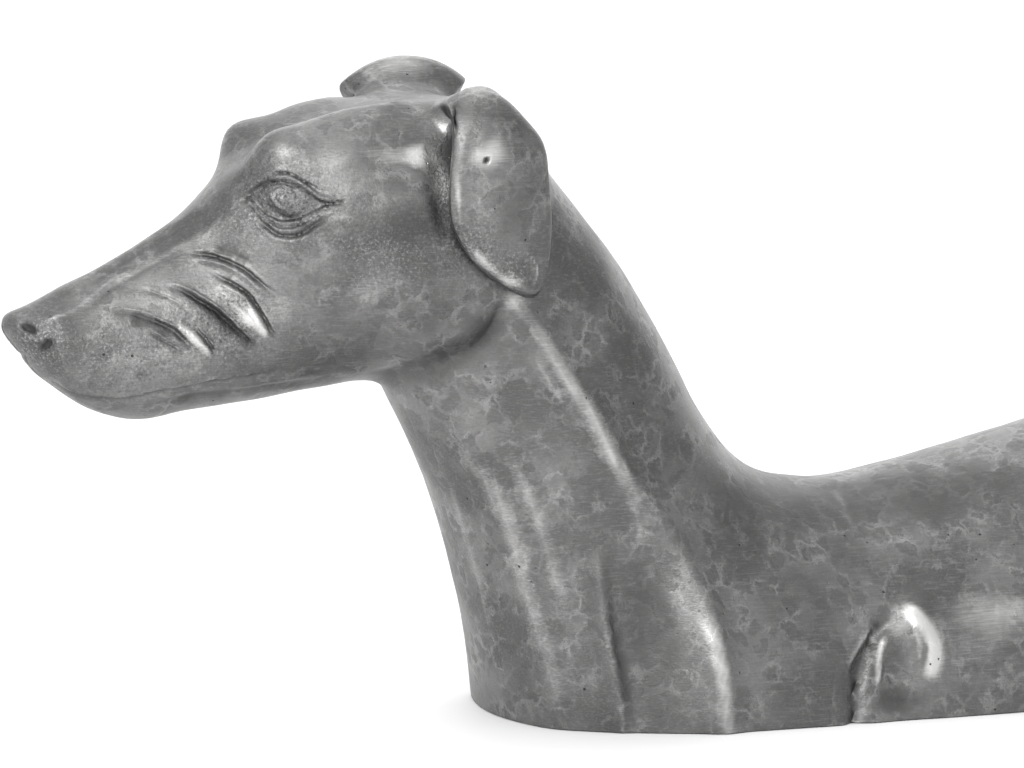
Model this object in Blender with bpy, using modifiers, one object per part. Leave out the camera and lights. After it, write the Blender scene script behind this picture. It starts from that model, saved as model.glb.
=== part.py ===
"""A dog's bust, cast in aluminium as one piece: a sighthound's head, neck and shoulders.

The dog looks along -X. Its head, neck and shoulders are mirror-symmetric about the plane Y = 0,
and its two folded ears differ a little. The bust is cut flat below, at Z = 0, and flat behind the
shoulders. The origin is the middle of the underside.
"""

import math
from collections import namedtuple

import bmesh
import bpy
import numpy as np

# Driving sizes, in metres
BUST_HEIGHT = 0.275        # underside to the top of the right ear
BACK_CUT = 0.1475          # origin to the flat cut behind the shoulders
EAR_OUTER_DEPTH = 0.0035   # middle line of an ear's flap to its outer face
EAR_INNER_DEPTH = 0.014    # middle line of an ear's flap to its inner side, which joins the head

# The figure is drawn in millimetres of a bust this tall, and grows with BUST_HEIGHT.
DRAWN_HEIGHT = 275.0
DRAWN = BUST_HEIGHT / DRAWN_HEIGHT

# How finely the solid is faceted
ROWS_PER_HEAD_STATION = 3.0
ROWS_PER_BODY_STATION = 1.25
POINTS_BOTTOM_TO_TOP = 23
EAR_ROWS = 17
EAR_POINTS = 14
STROKE_STEP = 6.0          # length of one facet along a cut or a lid, in drawn millimetres
LEAST_FACETS = 4           # along a short one
EYE_SEGMENTS = 12
EYE_RINGS = 6
SECTION_STEPS = 720        # fine steps that a section's points are picked from
SHARP_ANGLE = 50.0         # degrees between faces that stay an edge

# How a rod or a button finds the surface that it lies on
PLANES = 4                 # nearest points of the surface that are asked
LEAST_SIDEWAYS = 0.2       # and only those whose normal has this much Y
MERGE_DISTANCE = 1e-7      # metres within which points are one

# Side outlines, one (x, z) for each station from the nose to behind the shoulders. A station's
# section runs from its point on the under line to its point on the top line.
TOP_LINE = [
    (-357, 174), (-355, 178.5), (-350, 180.8), (-344, 183.2), (-336, 187), (-328, 191),
    (-317, 195.8), (-306, 201.2), (-294, 208), (-281, 215.8), (-269, 224.5), (-256, 238),
    (-241, 249.5), (-222, 255.5), (-198, 258.5), (-173, 261.5), (-150, 257), (-131.5, 240.5),
    (-111.5, 216.5), (-95.5, 197), (-81.5, 176.5), (-67.5, 153.5), (-54, 128.5), (-40, 109.5),
    (-25, 97.5), (-6, 92.3), (14, 91.3), (37, 94.5), (61, 99), (88, 105), (120, 112),
    (161, 118), (210, 121),
]
UNDER_LINE = [
    (-357, 172.5), (-353.5, 167.5), (-348.5, 161.5), (-343.5, 155), (-336, 149), (-324, 140.5),
    (-305, 133.8), (-286, 135.5), (-267, 137.5), (-246, 139.7), (-228, 142), (-212, 143.7),
    (-201, 144), (-193.5, 141.5), (-189, 136.5), (-186, 130), (-182.5, 123), (-178.5, 115),
    (-173, 103), (-168.5, 92), (-164, 79), (-159, 61), (-154.5, 42), (-150, 20),
    (-146, -2), (-137, -40), (-112, -85), (-60, -115), (-5, -125), (50, -125), (105, -120),
    (160, -115), (210, -112),
]
LAST_STATION = len(TOP_LINE) - 1
NAPE_STATION = 16          # from here on the rows are further apart

# Knots (station, value) of what each section is like between its two points.
HALF_WIDTH = [
    (0, 1), (1, 8), (2, 12.5), (3, 15.5), (4, 18), (6, 24), (8, 29), (10, 36), (12, 46),
    (14, 52), (16, 49), (18, 46), (20, 47.5), (22, 54), (24, 67), (26, 81), (28, 87), (32, 88),
]
WIDEST_LEVEL = [           # share of the way up where the section is widest
    (0, 0.5), (3, 0.45), (6, 0.40), (9, 0.42), (12, 0.52), (16, 0.55), (22, 0.48), (32, 0.5),
]
UPPER_FULLNESS = [         # 2 is an ellipse, more is squarer and less is more pointed
    (0, 2.0), (4, 1.9), (8, 1.75), (10, 2.0), (12, 2.9), (14, 2.8), (17, 2.2), (20, 2.0),
    (24, 1.85), (32, 1.95),
]
LOWER_FULLNESS = [(0, 2.0), (5, 2.1), (9, 2.0), (12, 1.8), (15, 1.9), (18, 2.0), (32, 2.0)]

# A swell lifts the surface round a point, by a bell curve of these radii. Minus is a hollow.
Swell = namedtuple("Swell", "centre radii height")
SWELLS = {
    "brow": Swell((-251, 27, 251), (13, 13, 13), 15.5),
    "crest of the skull": Swell((-214, 28, 261), (40, 14, 12), 7.0),
    "root of the ear": Swell((-170, 33, 262), (20, 16, 14), 6.0),
    "furrow of the forehead": Swell((-235, 0, 250), (36, 7, 20), -2.5),
    "eye socket": Swell((-252, 32, 224), (17, 16, 12), -3.5),
    "cheekbone": Swell((-222, 45, 208), (26, 16, 7), 2.5),
    "temple": Swell((-212, 46, 236), (20, 14, 11), -2.5),
    "jaw muscle": Swell((-188, 47, 178), (24, 20, 20), 2.5),
    "hollow before the eye": Swell((-279, 28, 197), (16, 12, 9), -2.0),
    "upper lip": Swell((-306, 20, 158), (26, 12, 10), 1.8),
    "chest hollow": Swell((-101, 64, 34), (13, 20, 28), -5.5),
    "shoulder point": Swell((21, 74, 38), (9, 14, 11), 4.0),
    "armpit": Swell((7, 78, 16), (8, 14, 13), -3.5),
}

# A line carved along the side, as (x, z) points. Minus height is a groove, plus a ridge.
Carved = namedtuple("Carved", "points width height")
CARVED = {
    "groove before the ear": Carved(
        [(-182, 252), (-186, 240), (-188, 228), (-187.5, 217), (-185, 206)], 5.0, -7.0
    ),
    "back of the jaw": Carved(
        [(-157, 186), (-159.5, 172), (-167, 162), (-177, 156), (-190, 152), (-206, 149)], 5.5, -3.5
    ),
    "long neck muscle": Carved(
        [(-150, 186), (-134, 153), (-113, 118), (-90, 85), (-76, 50), (-71, 0)], 8.0, 3.5
    ),
    "front neck muscle": Carved(
        [(-176, 139), (-160, 106), (-148, 77), (-139, 40), (-132, 0)], 8.0, 2.5
    ),
    "chest string": Carved([(-117, 80), (-116.5, 50), (-112, 10)], 4.0, 2.0),
    "shoulder groove": Carved([(15, 44), (4, 37), (-7, 27), (-12, 14), (-13, 0)], 3.5, -3.5),
}
FADE_SHARE = 0.18          # a carved line fades in and out over this share of its length

# A narrow stroke along a line on both sides of the head, as (x, z) points: a rod with four sides,
# thinned to a point at both ends, that goes this deep into the surface and stands this far out.
Stroke = namedtuple("Stroke", "points half_width depth rise")
CUT_RISE = 1.5             # a cutting rod stands out this far, clear of the surface
CUTS = {
    "nostril": Stroke([(-350.5, 176), (-347, 172.5), (-343, 167)], 1.7, 3.0, CUT_RISE),
    "mouth": Stroke(
        [(-338, 151), (-325, 145.4), (-314, 144.8), (-290, 149), (-265, 151.6), (-243, 154)],
        1.2, 1.8, CUT_RISE,
    ),
    "first cheek fold": Stroke(
        [(-316, 180.5), (-307, 179.4), (-294, 173.6), (-282, 163)], 1.5, 1.8, CUT_RISE
    ),
    "short cheek fold": Stroke([(-284, 174), (-279.5, 167.7), (-274.5, 160.5)], 1.1, 1.4, CUT_RISE),
    "second cheek fold": Stroke(
        [(-295, 190.8), (-287, 187.6), (-274.5, 179), (-258.5, 162.5)], 2.2, 2.6, CUT_RISE
    ),
    "third cheek fold": Stroke(
        [(-275.5, 195), (-264, 187.3), (-256, 176.5), (-248, 166.5)], 1.5, 2.0, CUT_RISE
    ),
    "fold under the eye": Stroke(
        [(-283, 201.6), (-270, 200.8), (-260, 193), (-248, 183.5)], 1.5, 1.8, CUT_RISE
    ),
    "crease over the eye": Stroke(
        [(-260, 228), (-254, 235), (-246, 236.8), (-238, 232.5), (-229, 227.5)], 0.9, 1.2, CUT_RISE
    ),
    "crease under the eye": Stroke(
        [(-258.5, 215.5), (-252, 211.5), (-246, 210.2), (-240, 212), (-232, 217)], 0.9, 1.2, CUT_RISE
    ),
    "tail of the eye": Stroke([(-229, 224), (-221, 225.5), (-212, 225), (-202, 222)], 0.9, 1.2, CUT_RISE),
}
LIDS = Stroke(             # a closed loop, from the inner corner round by the upper lid
    [
        (-260, 223.5), (-255.5, 229.5), (-249.5, 233), (-243, 231.5), (-236, 226.5),
        (-231.5, 223), (-238, 218), (-247, 215.3), (-254.5, 217.8),
    ],
    1.4, 1.2, 1.4,
)

# A low button on both sides of the head: its middle (x, z), its radii along and up, and how far
# it stands out of the surface.
Button = namedtuple("Button", "middle radii rise")
BUTTON_SUNK = 2.0          # a button's middle lies this far under the surface
BUTTONS = {
    "eyeball": Button((-246.5, 224), (13, 8), 1.2),
    "iris": Button((-248, 225), (5.2, 5.2), 1.9),
}

# An ear's middle line (y, z), from inside the skull over the fold and down to the tip.
EAR_LINE = [
    (22, 246), (32, 262.5), (43, 269.5), (52.5, 263), (57, 250), (58, 232), (56.5, 214),
    (55, 200), (54, 192), (53.5, 186), (53, 182.5),
]
# For each ear: the x of its front and back edge at each point of that line, how far its fold is
# raised, and how far the fold's front and back lie below its middle.
Ear = namedtuple("Ear", "side front back rise front_drop back_drop")
EARS = {
    "right ear": Ear(
        1,
        (-186, -191, -194, -192, -184.5, -181.5, -181, -175, -164, -154, -149),
        (-160, -147, -138.5, -138, -139, -138, -140, -141.5, -142.5, -145, -147),
        2.4, 8.0, 9.0,
    ),
    "left ear": Ear(
        -1,
        (-182, -182, -182, -182.5, -183.5, -185.3, -183.6, -175.5, -166.5, -157.5, -150),
        (-160, -154, -151, -148.5, -144.5, -141.5, -140.5, -140.5, -142, -144, -147),
        -5.0, 3.0, 12.5,
    ),
}
EAR_CROWN = 2.5            # how far the flap's middle stands out past its edges
EAR_FOLD_AT = 2.2          # the fold's place along the ear's line
EAR_FOLD_REACH = 2.4
EAR_TIP_REACH = 1.2        # the flap thins to its tip over this much of its line

METAL_COLOUR = (0.33, 0.33, 0.335, 1.0)
METAL_ROUGHNESS = 0.38


def smooth_line(knots, values, at):
    """A natural cubic spline through the values at the knots, read at the places in at."""
    x = np.asarray(knots, float)
    y = np.asarray(values, float)
    step = np.diff(x)
    inner = range(1, len(x) - 1)
    matrix = np.eye(len(x))
    slopes = np.zeros_like(y)
    for i in inner:
        matrix[i, i - 1:i + 2] = step[i - 1], 2 * (step[i - 1] + step[i]), step[i]
        slopes[i] = 6 * ((y[i + 1] - y[i]) / step[i] - (y[i] - y[i - 1]) / step[i - 1])
    bend = np.linalg.solve(matrix, slopes)
    k = np.clip(np.searchsorted(x, at, side="right") - 1, 0, len(x) - 2)
    after, before, span = at - x[k], x[k + 1] - at, step[k]
    if y.ndim > 1:
        after, before, span = after[:, None], before[:, None], span[:, None]
    curve = (bend[k] * before**3 + bend[k + 1] * after**3) / (6 * span)
    return (
        curve
        + (y[k] / span - bend[k] * span / 6) * before
        + (y[k + 1] / span - bend[k + 1] * span / 6) * after
    )


def read_knots(table, stations):
    """A table of (station, value) knots, read at the stations."""
    knots, values = zip(*table)
    return smooth_line(knots, values, stations)


def row_stations():
    """The station of each row of the mesh, close together on the head."""
    head = np.linspace(0, NAPE_STATION, round(NAPE_STATION * ROWS_PER_HEAD_STATION) + 1)
    body_stations = LAST_STATION - NAPE_STATION
    body = np.linspace(NAPE_STATION, LAST_STATION, round(body_stations * ROWS_PER_BODY_STATION) + 1)
    return np.concatenate([head, body[1:]])


def half_sections(stations):
    """Points [row, point, xyz] of the half with Y at or above 0, each row from below to above.

    A section is two quarter superellipses that meet where it is widest. Its points are evenly
    spaced along its length.
    """
    order = np.arange(LAST_STATION + 1)
    top = smooth_line(order, TOP_LINE, stations)
    under = smooth_line(order, UNDER_LINE, stations)
    width = read_knots(HALF_WIDTH, stations)[:, None]
    level = read_knots(WIDEST_LEVEL, stations)[:, None]
    turn = np.linspace(0, math.pi, SECTION_STEPS + 1)[None]
    lower = turn <= math.pi / 2
    fullness = np.where(
        lower,
        read_knots(LOWER_FULLNESS, stations)[:, None],
        read_knots(UPPER_FULLNESS, stations)[:, None],
    )
    rise = -np.sign(np.cos(turn)) * np.abs(np.cos(turn)) ** (2 / fullness)
    out = width * np.abs(np.sin(turn)) ** (2 / fullness)
    share = np.where(lower, level * (1 + rise), level + (1 - level) * rise)
    chord = top - under
    length = np.hypot(chord[:, 0], chord[:, 1])[:, None]
    steps = np.hypot(np.diff(share * length, axis=1), np.diff(out, axis=1))
    along = np.concatenate([np.zeros((len(stations), 1)), np.cumsum(steps, axis=1)], axis=1)
    even = np.linspace(0, 1, POINTS_BOTTOM_TO_TOP)
    share = np.stack([np.interp(even * a[-1], a, s) for a, s in zip(along, share)])
    out = np.stack([np.interp(even * a[-1], a, o) for a, o in zip(along, out)])
    x = under[:, :1] + chord[:, :1] * share
    z = under[:, 1:] + chord[:, 1:] * share
    return np.stack([x, out, z], axis=-1)


def outward(points):
    """The unit normals of a half's grid of points, level with the mirror plane at its edges."""
    normal = np.cross(np.gradient(points, axis=1), np.gradient(points, axis=0))
    normal[:, 0, 1] = 0
    normal[:, -1, 1] = 0
    return normal / np.maximum(np.linalg.norm(normal, axis=-1, keepdims=True), 1e-9)


def distance_along(points, line):
    """How far points are from a line in the side view, and the share of the line they are beside."""
    flat = points[..., ::2]
    line = np.asarray(line, float)
    runs = np.diff(line, axis=0)
    lengths = np.hypot(*runs.T)
    starts = np.concatenate([[0], np.cumsum(lengths)])
    nearest = np.full(flat.shape[:-1], np.inf)
    share = np.zeros(flat.shape[:-1])
    for start, run, length, begin in zip(line, runs, lengths, starts):
        along = np.clip((flat - start) @ run / length**2, 0, 1)
        away = np.linalg.norm(flat - start - along[..., None] * run, axis=-1)
        closer = away < nearest
        nearest = np.where(closer, away, nearest)
        share = np.where(closer, (begin + along * length) / starts[-1], share)
    return nearest, share


def swollen(points):
    """How far the swells lift each point."""
    lift = np.zeros(points.shape[:-1])
    for swell in SWELLS.values():
        reach = (points - np.array(swell.centre)) / np.array(swell.radii)
        lift += swell.height * np.exp(-(reach**2).sum(axis=-1))
    return lift


def carved(points):
    """How far the carved lines lift each point, fading at the ends of each line."""
    lift = np.zeros(points.shape[:-1])
    for cut in CARVED.values():
        away, share = distance_along(points, cut.points)
        ends = np.clip(np.minimum(share, 1 - share) / FADE_SHARE, 0, 1)
        lift += cut.height * (0.25 + 0.75 * ends) * np.exp(-((away / cut.width) ** 2))
    return lift


def level_with(points, line):
    """Where a half's surface is beside the (x, z) points of a line, and its normals there.

    Each of the nearest points of the grid has a plane through it along the surface, and Y is
    their mean, weighted by closeness.
    """
    grid = points[:, 1:-1].reshape(-1, 3)
    normals = outward(points)[:, 1:-1].reshape(-1, 3)
    flat = np.asarray(line, float)
    away = np.linalg.norm(grid[None, :, ::2] - flat[:, None], axis=-1)
    away = np.where(np.abs(normals[:, 1]) > LEAST_SIDEWAYS, away, np.inf)
    near = np.argsort(away, axis=1)[:, :PLANES]
    weight = 1 / (np.take_along_axis(away, near, axis=1) ** 2 + 1)    # even within a millimetre
    weight /= weight.sum(axis=1, keepdims=True)
    offset = flat[:, None] - grid[near][..., ::2]
    slope = normals[near][..., ::2] / normals[near][..., 1:2]
    y = (weight * (grid[near][..., 1] - (offset * slope).sum(axis=-1))).sum(axis=1)
    normal = (weight[..., None] * normals[near]).sum(axis=1)
    normal /= np.linalg.norm(normal, axis=1, keepdims=True)
    return np.stack([flat[:, 0], y, flat[:, 1]], axis=1), normal


def rod(stroke, surface, loop):
    """A stroke's four-sided rod on the side with Y above 0, as its points and its faces."""
    line = np.asarray(stroke.points + stroke.points[:1] if loop else stroke.points, float)
    length = np.hypot(*np.diff(line, axis=0).T).sum()
    rows = max(LEAST_FACETS, round(length / STROKE_STEP))
    share = np.linspace(0, 1, rows + 1)
    flat = smooth_line(np.arange(len(line)), line, share * (len(line) - 1))
    middle, normal = level_with(surface, flat)
    run = np.gradient(middle, axis=0)
    if loop:
        middle, normal, run = middle[:-1], normal[:-1], run[:-1]
        size = np.ones((rows, 1))
    else:
        size = np.sqrt(np.sin(math.pi * share))[:, None]
    across = np.cross(normal, run)
    across /= np.linalg.norm(across, axis=1, keepdims=True)
    points = np.stack(
        [
            middle + normal * stroke.rise * size,
            middle + across * stroke.half_width * size,
            middle - normal * stroke.depth * size,
            middle - across * stroke.half_width * size,
        ],
        axis=1,
    )
    index = np.arange(len(points) * 4).reshape(-1, 4)
    if loop:
        index = np.concatenate([index, index[:1]])
    index = np.concatenate([index, index[:, :1]], axis=1)
    corners = [index[:-1, :-1], index[:-1, 1:], index[1:, 1:], index[1:, :-1]]
    return points.reshape(-1, 3), np.stack(corners, axis=-1).reshape(-1, 4)


def stroke_mesh(name, strokes, surface, loop=False):
    """The rods of strokes on both sides of the head, in one mesh, with their pinched ends merged."""
    work = bmesh.new()
    for stroke in strokes:
        points, faces = rod(stroke, surface, loop)
        for side in (1, -1):
            corners = [work.verts.new(point) for point in points * (1, side, 1) * DRAWN]
            for face in faces:
                work.faces.new([corners[i] for i in face])
    return closed_mesh(name, work)


def button_mesh(name, button, surface):
    """The ellipsoids of a button on both sides of the head, turned to lie on the surface."""
    middle, normal = (each[0] for each in level_with(surface, [button.middle]))
    up = np.array([0, 0, 1]) - normal * normal[2]
    up /= np.linalg.norm(up)
    radii = np.array([*button.radii, button.rise + BUTTON_SUNK])
    axes = np.stack([np.cross(up, normal), up, normal]) * radii[:, None]
    work = bmesh.new()
    for side in (1, -1):
        ball = bmesh.ops.create_uvsphere(work, u_segments=EYE_SEGMENTS, v_segments=EYE_RINGS, radius=1)
        for vertex in ball["verts"]:
            place = middle - normal * BUTTON_SUNK + np.array(vertex.co) @ axes
            vertex.co = place * (1, side, 1) * DRAWN
    return closed_mesh(name, work)


def closed_mesh(name, work):
    """A mesh of closed shapes from a bmesh: points that meet are merged, and faces turned outwards."""
    bmesh.ops.remove_doubles(work, verts=work.verts, dist=MERGE_DISTANCE)
    bmesh.ops.recalc_face_normals(work, faces=work.faces)
    mesh = bpy.data.meshes.new(name)
    work.to_mesh(mesh)
    work.free()
    return mesh


def new_mesh(name, points, closed, flip=False):
    """A mesh from a grid of points in drawn millimetres, capped at its first and last row.

    A closed grid's rows are loops. Flip turns its faces over.
    """
    rows, across = points.shape[:2]
    index = np.arange(rows * across).reshape(rows, across)
    caps = [index[0, ::-1].tolist(), index[-1].tolist()]
    if closed:
        index = np.concatenate([index, index[:, :1]], axis=1)
    corners = [index[:-1, :-1], index[:-1, 1:], index[1:, 1:], index[1:, :-1]]
    faces = np.stack(corners, axis=-1).reshape(-1, 4).tolist() + caps
    if flip:
        faces = [face[::-1] for face in faces]
    mesh = bpy.data.meshes.new(name)
    mesh.from_pydata((points.reshape(-1, 3) * DRAWN).tolist(), [], faces)
    mesh.update()
    return mesh


def shaped_half():
    """The points of the head, neck and shoulders with Y at or above 0, swollen and carved."""
    points = half_sections(row_stations())
    points += outward(points) * swollen(points)[..., None]
    points += outward(points) * carved(points)[..., None]
    points[:, [0, -1], 1] = 0
    return points


def ear_mesh(name, ear):
    """One ear: lens-shaped sections along the ear's line, from its root to its tip."""
    places = np.arange(len(EAR_LINE))
    along = np.linspace(0, len(EAR_LINE) - 1, EAR_ROWS)
    y, z = smooth_line(places, EAR_LINE, along).T
    front = smooth_line(places, ear.front, along)[:, None]
    back = smooth_line(places, ear.back, along)[:, None]
    run = np.stack([np.gradient(y), np.gradient(z)])
    out_y, out_z = np.stack([-run[1], run[0]]) / np.hypot(*run)
    turn = np.linspace(0, 2 * math.pi, EAR_POINTS, endpoint=False)
    across, outside = np.cos(turn)[None], np.sin(turn)[None]
    thin = np.sqrt(np.clip((len(EAR_LINE) - 1 - along) / EAR_TIP_REACH, 0, 1))[:, None]
    hangs = np.clip((along - EAR_FOLD_AT) / 2, 0, 1)[:, None]
    depth = np.where(outside >= 0, EAR_OUTER_DEPTH, EAR_INNER_DEPTH) / DRAWN
    lift = thin * (depth * outside + EAR_CROWN * (1 - across**2) * hangs)
    fold = np.clip(1 - np.abs(along - EAR_FOLD_AT) / EAR_FOLD_REACH, 0, 1)[:, None]
    drop = np.where(across < 0, ear.front_drop, ear.back_drop) * across**2
    points = np.stack(
        [
            (front + back) / 2 + (back - front) / 2 * across,
            ear.side * (y[:, None] + out_y[:, None] * lift),
            z[:, None] + out_z[:, None] * lift + fold * (ear.rise - drop),
        ],
        axis=-1,
    )
    return new_mesh(name, points, closed=True, flip=ear.side > 0)


def block_mesh(name, low, high):
    """A box between two corners, in metres."""
    work = bmesh.new()
    bmesh.ops.create_cube(work, size=1)
    for vertex in work.verts:
        vertex.co = [a + (b - a) * (c + 0.5) for a, b, c in zip(low, high, vertex.co)]
    mesh = bpy.data.meshes.new(name)
    work.to_mesh(mesh)
    work.free()
    return mesh


def add_object(name, mesh, collection):
    """An object with this mesh, in a collection."""
    obj = bpy.data.objects.new(name, mesh)
    collection.objects.link(obj)
    return obj


def add_mirror(obj):
    """Mirrors the half with Y above 0 to the other side."""
    mirror = obj.modifiers.new("other side", "MIRROR")
    mirror.use_axis = (False, True, False)
    mirror.use_clip = True
    mirror.merge_threshold = 0.0001


def add_boolean(obj, other, operation):
    """Joins another object to this one, or cuts it away."""
    boolean = obj.modifiers.new(other.name, "BOOLEAN")
    boolean.object = other
    boolean.operation = operation
    boolean.solver = "EXACT"


def make_helper(obj):
    """Keeps an object that only joins or cuts out of the render."""
    obj.hide_render = True
    obj.display_type = "WIRE"


def metal():
    """Cast aluminium, worked over by hand to a grey satin."""
    material = bpy.data.materials.new("worked cast aluminium")
    material.use_nodes = True
    shader = material.node_tree.nodes["Principled BSDF"]
    shader.inputs["Base Color"].default_value = METAL_COLOUR
    shader.inputs["Metallic"].default_value = 1.0
    shader.inputs["Roughness"].default_value = METAL_ROUGHNESS
    return material


def main():
    for obj in list(bpy.data.objects):
        bpy.data.objects.remove(obj)
    sculpture = bpy.data.collections.new("Dog bust")
    helpers = bpy.data.collections.new("Cutters")
    bpy.context.scene.collection.children.link(sculpture)
    bpy.context.scene.collection.children.link(helpers)

    half = shaped_half()
    mesh = new_mesh("head, neck and shoulders", half, closed=False)
    bust = add_object("dog_bust", mesh, sculpture)
    bust.data.materials.append(metal())
    add_mirror(bust)

    ears = [add_object(name, ear_mesh(name, ear), helpers) for name, ear in EARS.items()]
    for ear in ears:
        add_boolean(bust, ear, "UNION")

    eyes = [add_object("lids", stroke_mesh("lids", [LIDS], half, loop=True), helpers)]
    for name, button in BUTTONS.items():
        eyes.append(add_object(name, button_mesh(name, button, half), helpers))
    for piece in eyes:
        add_boolean(bust, piece, "UNION")

    cuts = add_object("cuts", stroke_mesh("cuts", CUTS.values(), half), helpers)
    far = 2 * BUST_HEIGHT
    below = add_object("below the cut", block_mesh("below", (-far, -far, -far), (far, far, 0)), helpers)
    behind = add_object(
        "behind the cut", block_mesh("behind", (BACK_CUT, -far, -far), (2 * far, far, far)), helpers
    )
    for cutter in (cuts, below, behind):
        add_boolean(bust, cutter, "DIFFERENCE")
    for helper in (*ears, *eyes, cuts, below, behind):
        make_helper(helper)

    bust.data.shade_smooth()
    bust.data.set_sharp_from_angle(angle=math.radians(SHARP_ANGLE))


main()
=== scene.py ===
"""The looks of a dog's bust cast in aluminium and worked over by hand.

The bust is one surface: a loft along the head and neck, two folded ears joined to it, and the
carving of the eyes, nose, mouth, cheek folds and muscles cut into that. It replaces the plain
solid of the frame. Lengths are in drawn millimetres, those of a bust 275 mm tall.
"""

import logging
import math
from dataclasses import dataclass, field
from enum import Enum
from typing import Any

import bmesh
import bpy
import numpy as np
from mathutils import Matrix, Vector


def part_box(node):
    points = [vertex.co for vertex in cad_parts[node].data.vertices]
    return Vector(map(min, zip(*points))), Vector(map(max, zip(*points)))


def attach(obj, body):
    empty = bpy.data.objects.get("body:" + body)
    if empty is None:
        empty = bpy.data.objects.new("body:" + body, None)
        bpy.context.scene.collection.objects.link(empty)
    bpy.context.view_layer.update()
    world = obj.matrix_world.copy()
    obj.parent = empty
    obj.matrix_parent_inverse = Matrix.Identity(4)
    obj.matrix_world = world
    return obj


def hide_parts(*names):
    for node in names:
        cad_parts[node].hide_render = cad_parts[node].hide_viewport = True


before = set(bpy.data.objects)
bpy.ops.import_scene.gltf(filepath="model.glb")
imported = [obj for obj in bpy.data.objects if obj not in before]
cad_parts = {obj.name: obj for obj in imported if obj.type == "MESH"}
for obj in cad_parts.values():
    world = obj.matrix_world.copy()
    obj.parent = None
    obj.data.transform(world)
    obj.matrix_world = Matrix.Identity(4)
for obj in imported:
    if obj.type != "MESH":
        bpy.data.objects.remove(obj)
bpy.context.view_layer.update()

NODE = "dog_bust"
BODY = "root"
DRAWN_LENGTH = 504.5
LOW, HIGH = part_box(NODE)
DRAWN = (HIGH.x - LOW.x) / DRAWN_LENGTH     # metres for each drawn millimetre
BACK_CUT = HIGH.x / DRAWN
PAINTED_LIGHT = "painted_light"                               # attribute: above 0 polished, with a painted highlight; below 0 painted shade
ROUGH = "rough"                             # attribute: 1 where the skin is stippled by the punch
TINY = 1e-6                                 # the least number to divide by
RUNS_EACH = 5                               # straight runs between two points of a line

Array = np.ndarray
Points = tuple[tuple[float, ...], ...]
log = logging.getLogger("dog bust")


class Side(Enum):
    """The two sides of the dog, by the sign of Y."""

    LEFT = -1
    RIGHT = 1


class Cut(Enum):
    """What a carved line is like across."""

    GROOVE = "a rounded cut with raised lips"
    ROLL = "a soft ridge, or a hollow if its height is negative"
    STEP = "an edge: proud on the left of the line, dying away"


def smooth_line(knots: Array, values: Array, at: Array) -> Array:
    """A natural cubic spline: between knots a cubic, with equal slope and bend where they meet.

    Args:
        knots: Rising places of the values.
        values: One value or point for each knot.
        at: The places to read.

    Returns:
        The value or point at each place.
    """
    x = np.asarray(knots, float)
    y = np.asarray(values, float)
    step = np.diff(x)
    matrix = np.eye(len(x))
    slopes = np.zeros_like(y)
    for i in range(1, len(x) - 1):
        matrix[i, i - 1:i + 2] = step[i - 1], 2 * (step[i - 1] + step[i]), step[i]
        slopes[i] = 6 * ((y[i + 1] - y[i]) / step[i] - (y[i] - y[i - 1]) / step[i - 1])
    bend = np.linalg.solve(matrix, slopes)
    k = np.clip(np.searchsorted(x, at, side="right") - 1, 0, len(x) - 2)
    after, before, span = at - x[k], x[k + 1] - at, step[k]
    if y.ndim > 1:
        after, before, span = after[:, None], before[:, None], span[:, None]
    curve = (bend[k] * before**3 + bend[k + 1] * after**3) / (6 * span)
    return (
        curve
        + (y[k] / span - bend[k] * span / 6) * before
        + (y[k + 1] / span - bend[k + 1] * span / 6) * after
    )


def read_knots(table: Points, at: Array) -> Array:
    """A table of (place, value) knots, read by a natural spline at the places."""
    knots, values = zip(*table)
    return smooth_line(np.array(knots), np.array(values), at)


def ease(value: Array) -> Array:
    """Smooth step: 3t squared less 2t cubed, with t held from 0 to 1."""
    t = np.clip(value, 0, 1)
    return t * t * (3 - 2 * t)


def bell(value: Array) -> Array:
    """A bell curve: e to the power of minus the value squared."""
    return np.exp(-np.square(value))


def scramble(cells: Array, salt: int) -> Array:
    """A fixed number from 0 to 1 for each whole-number cell, as different as random ones.

    Args:
        cells: Cell numbers [..., 3].
        salt: Picks one of many such sets of numbers.

    Returns:
        The fractional part of a large sine of the cells' weighted sum.
    """
    mixed = cells @ np.array([127.1, 311.7, 74.7]) + salt * 19.19
    return np.modf(np.abs(np.sin(mixed) * 43758.5453))[0]


def nearest_cells(points: Array, size: float, salt: int) -> tuple[Array, Array]:
    """How far each point is from the nearest and second nearest of scattered centres.

    Each cube of a lattice holds one centre at a scrambled place, so the cubes round a point are
    enough to look in.

    Args:
        points: Points [n, 3].
        size: Side of a cube of the lattice, in drawn millimetres.
        salt: Picks one of many such scatters.

    Returns:
        The two distances, as shares of the size.
    """
    place = points / size
    home = np.floor(place)
    first = np.full(len(points), 9.0)
    second = np.full(len(points), 9.0)
    for offset in np.ndindex(3, 3, 3):
        cell = home + np.array(offset) - 1
        jitter = np.stack([scramble(cell, salt + k) for k in range(3)], axis=-1)
        away = np.linalg.norm(cell + jitter - place, axis=-1)
        second = np.minimum(second, np.maximum(first, away))
        first = np.minimum(first, away)
    return first, second


def soft_noise(points: Array, length: float, salt: int) -> Array:
    """Smooth noise from -1 to 1: scrambled values of a lattice's corners, eased between them.

    Args:
        points: Points [n, 3].
        length: Side of a cube of the lattice, in drawn millimetres.
        salt: Picks one of many such noises.

    Returns:
        The noise at each point.
    """
    place = points / length
    home = np.floor(place)
    share = ease(place - home)
    total = np.zeros(len(points))
    for corner in np.ndindex(2, 2, 2):
        weight = np.prod(np.where(corner, share, 1 - share), axis=-1)
        total += weight * scramble(home + np.array(corner), salt)
    return total * 2 - 1


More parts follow.
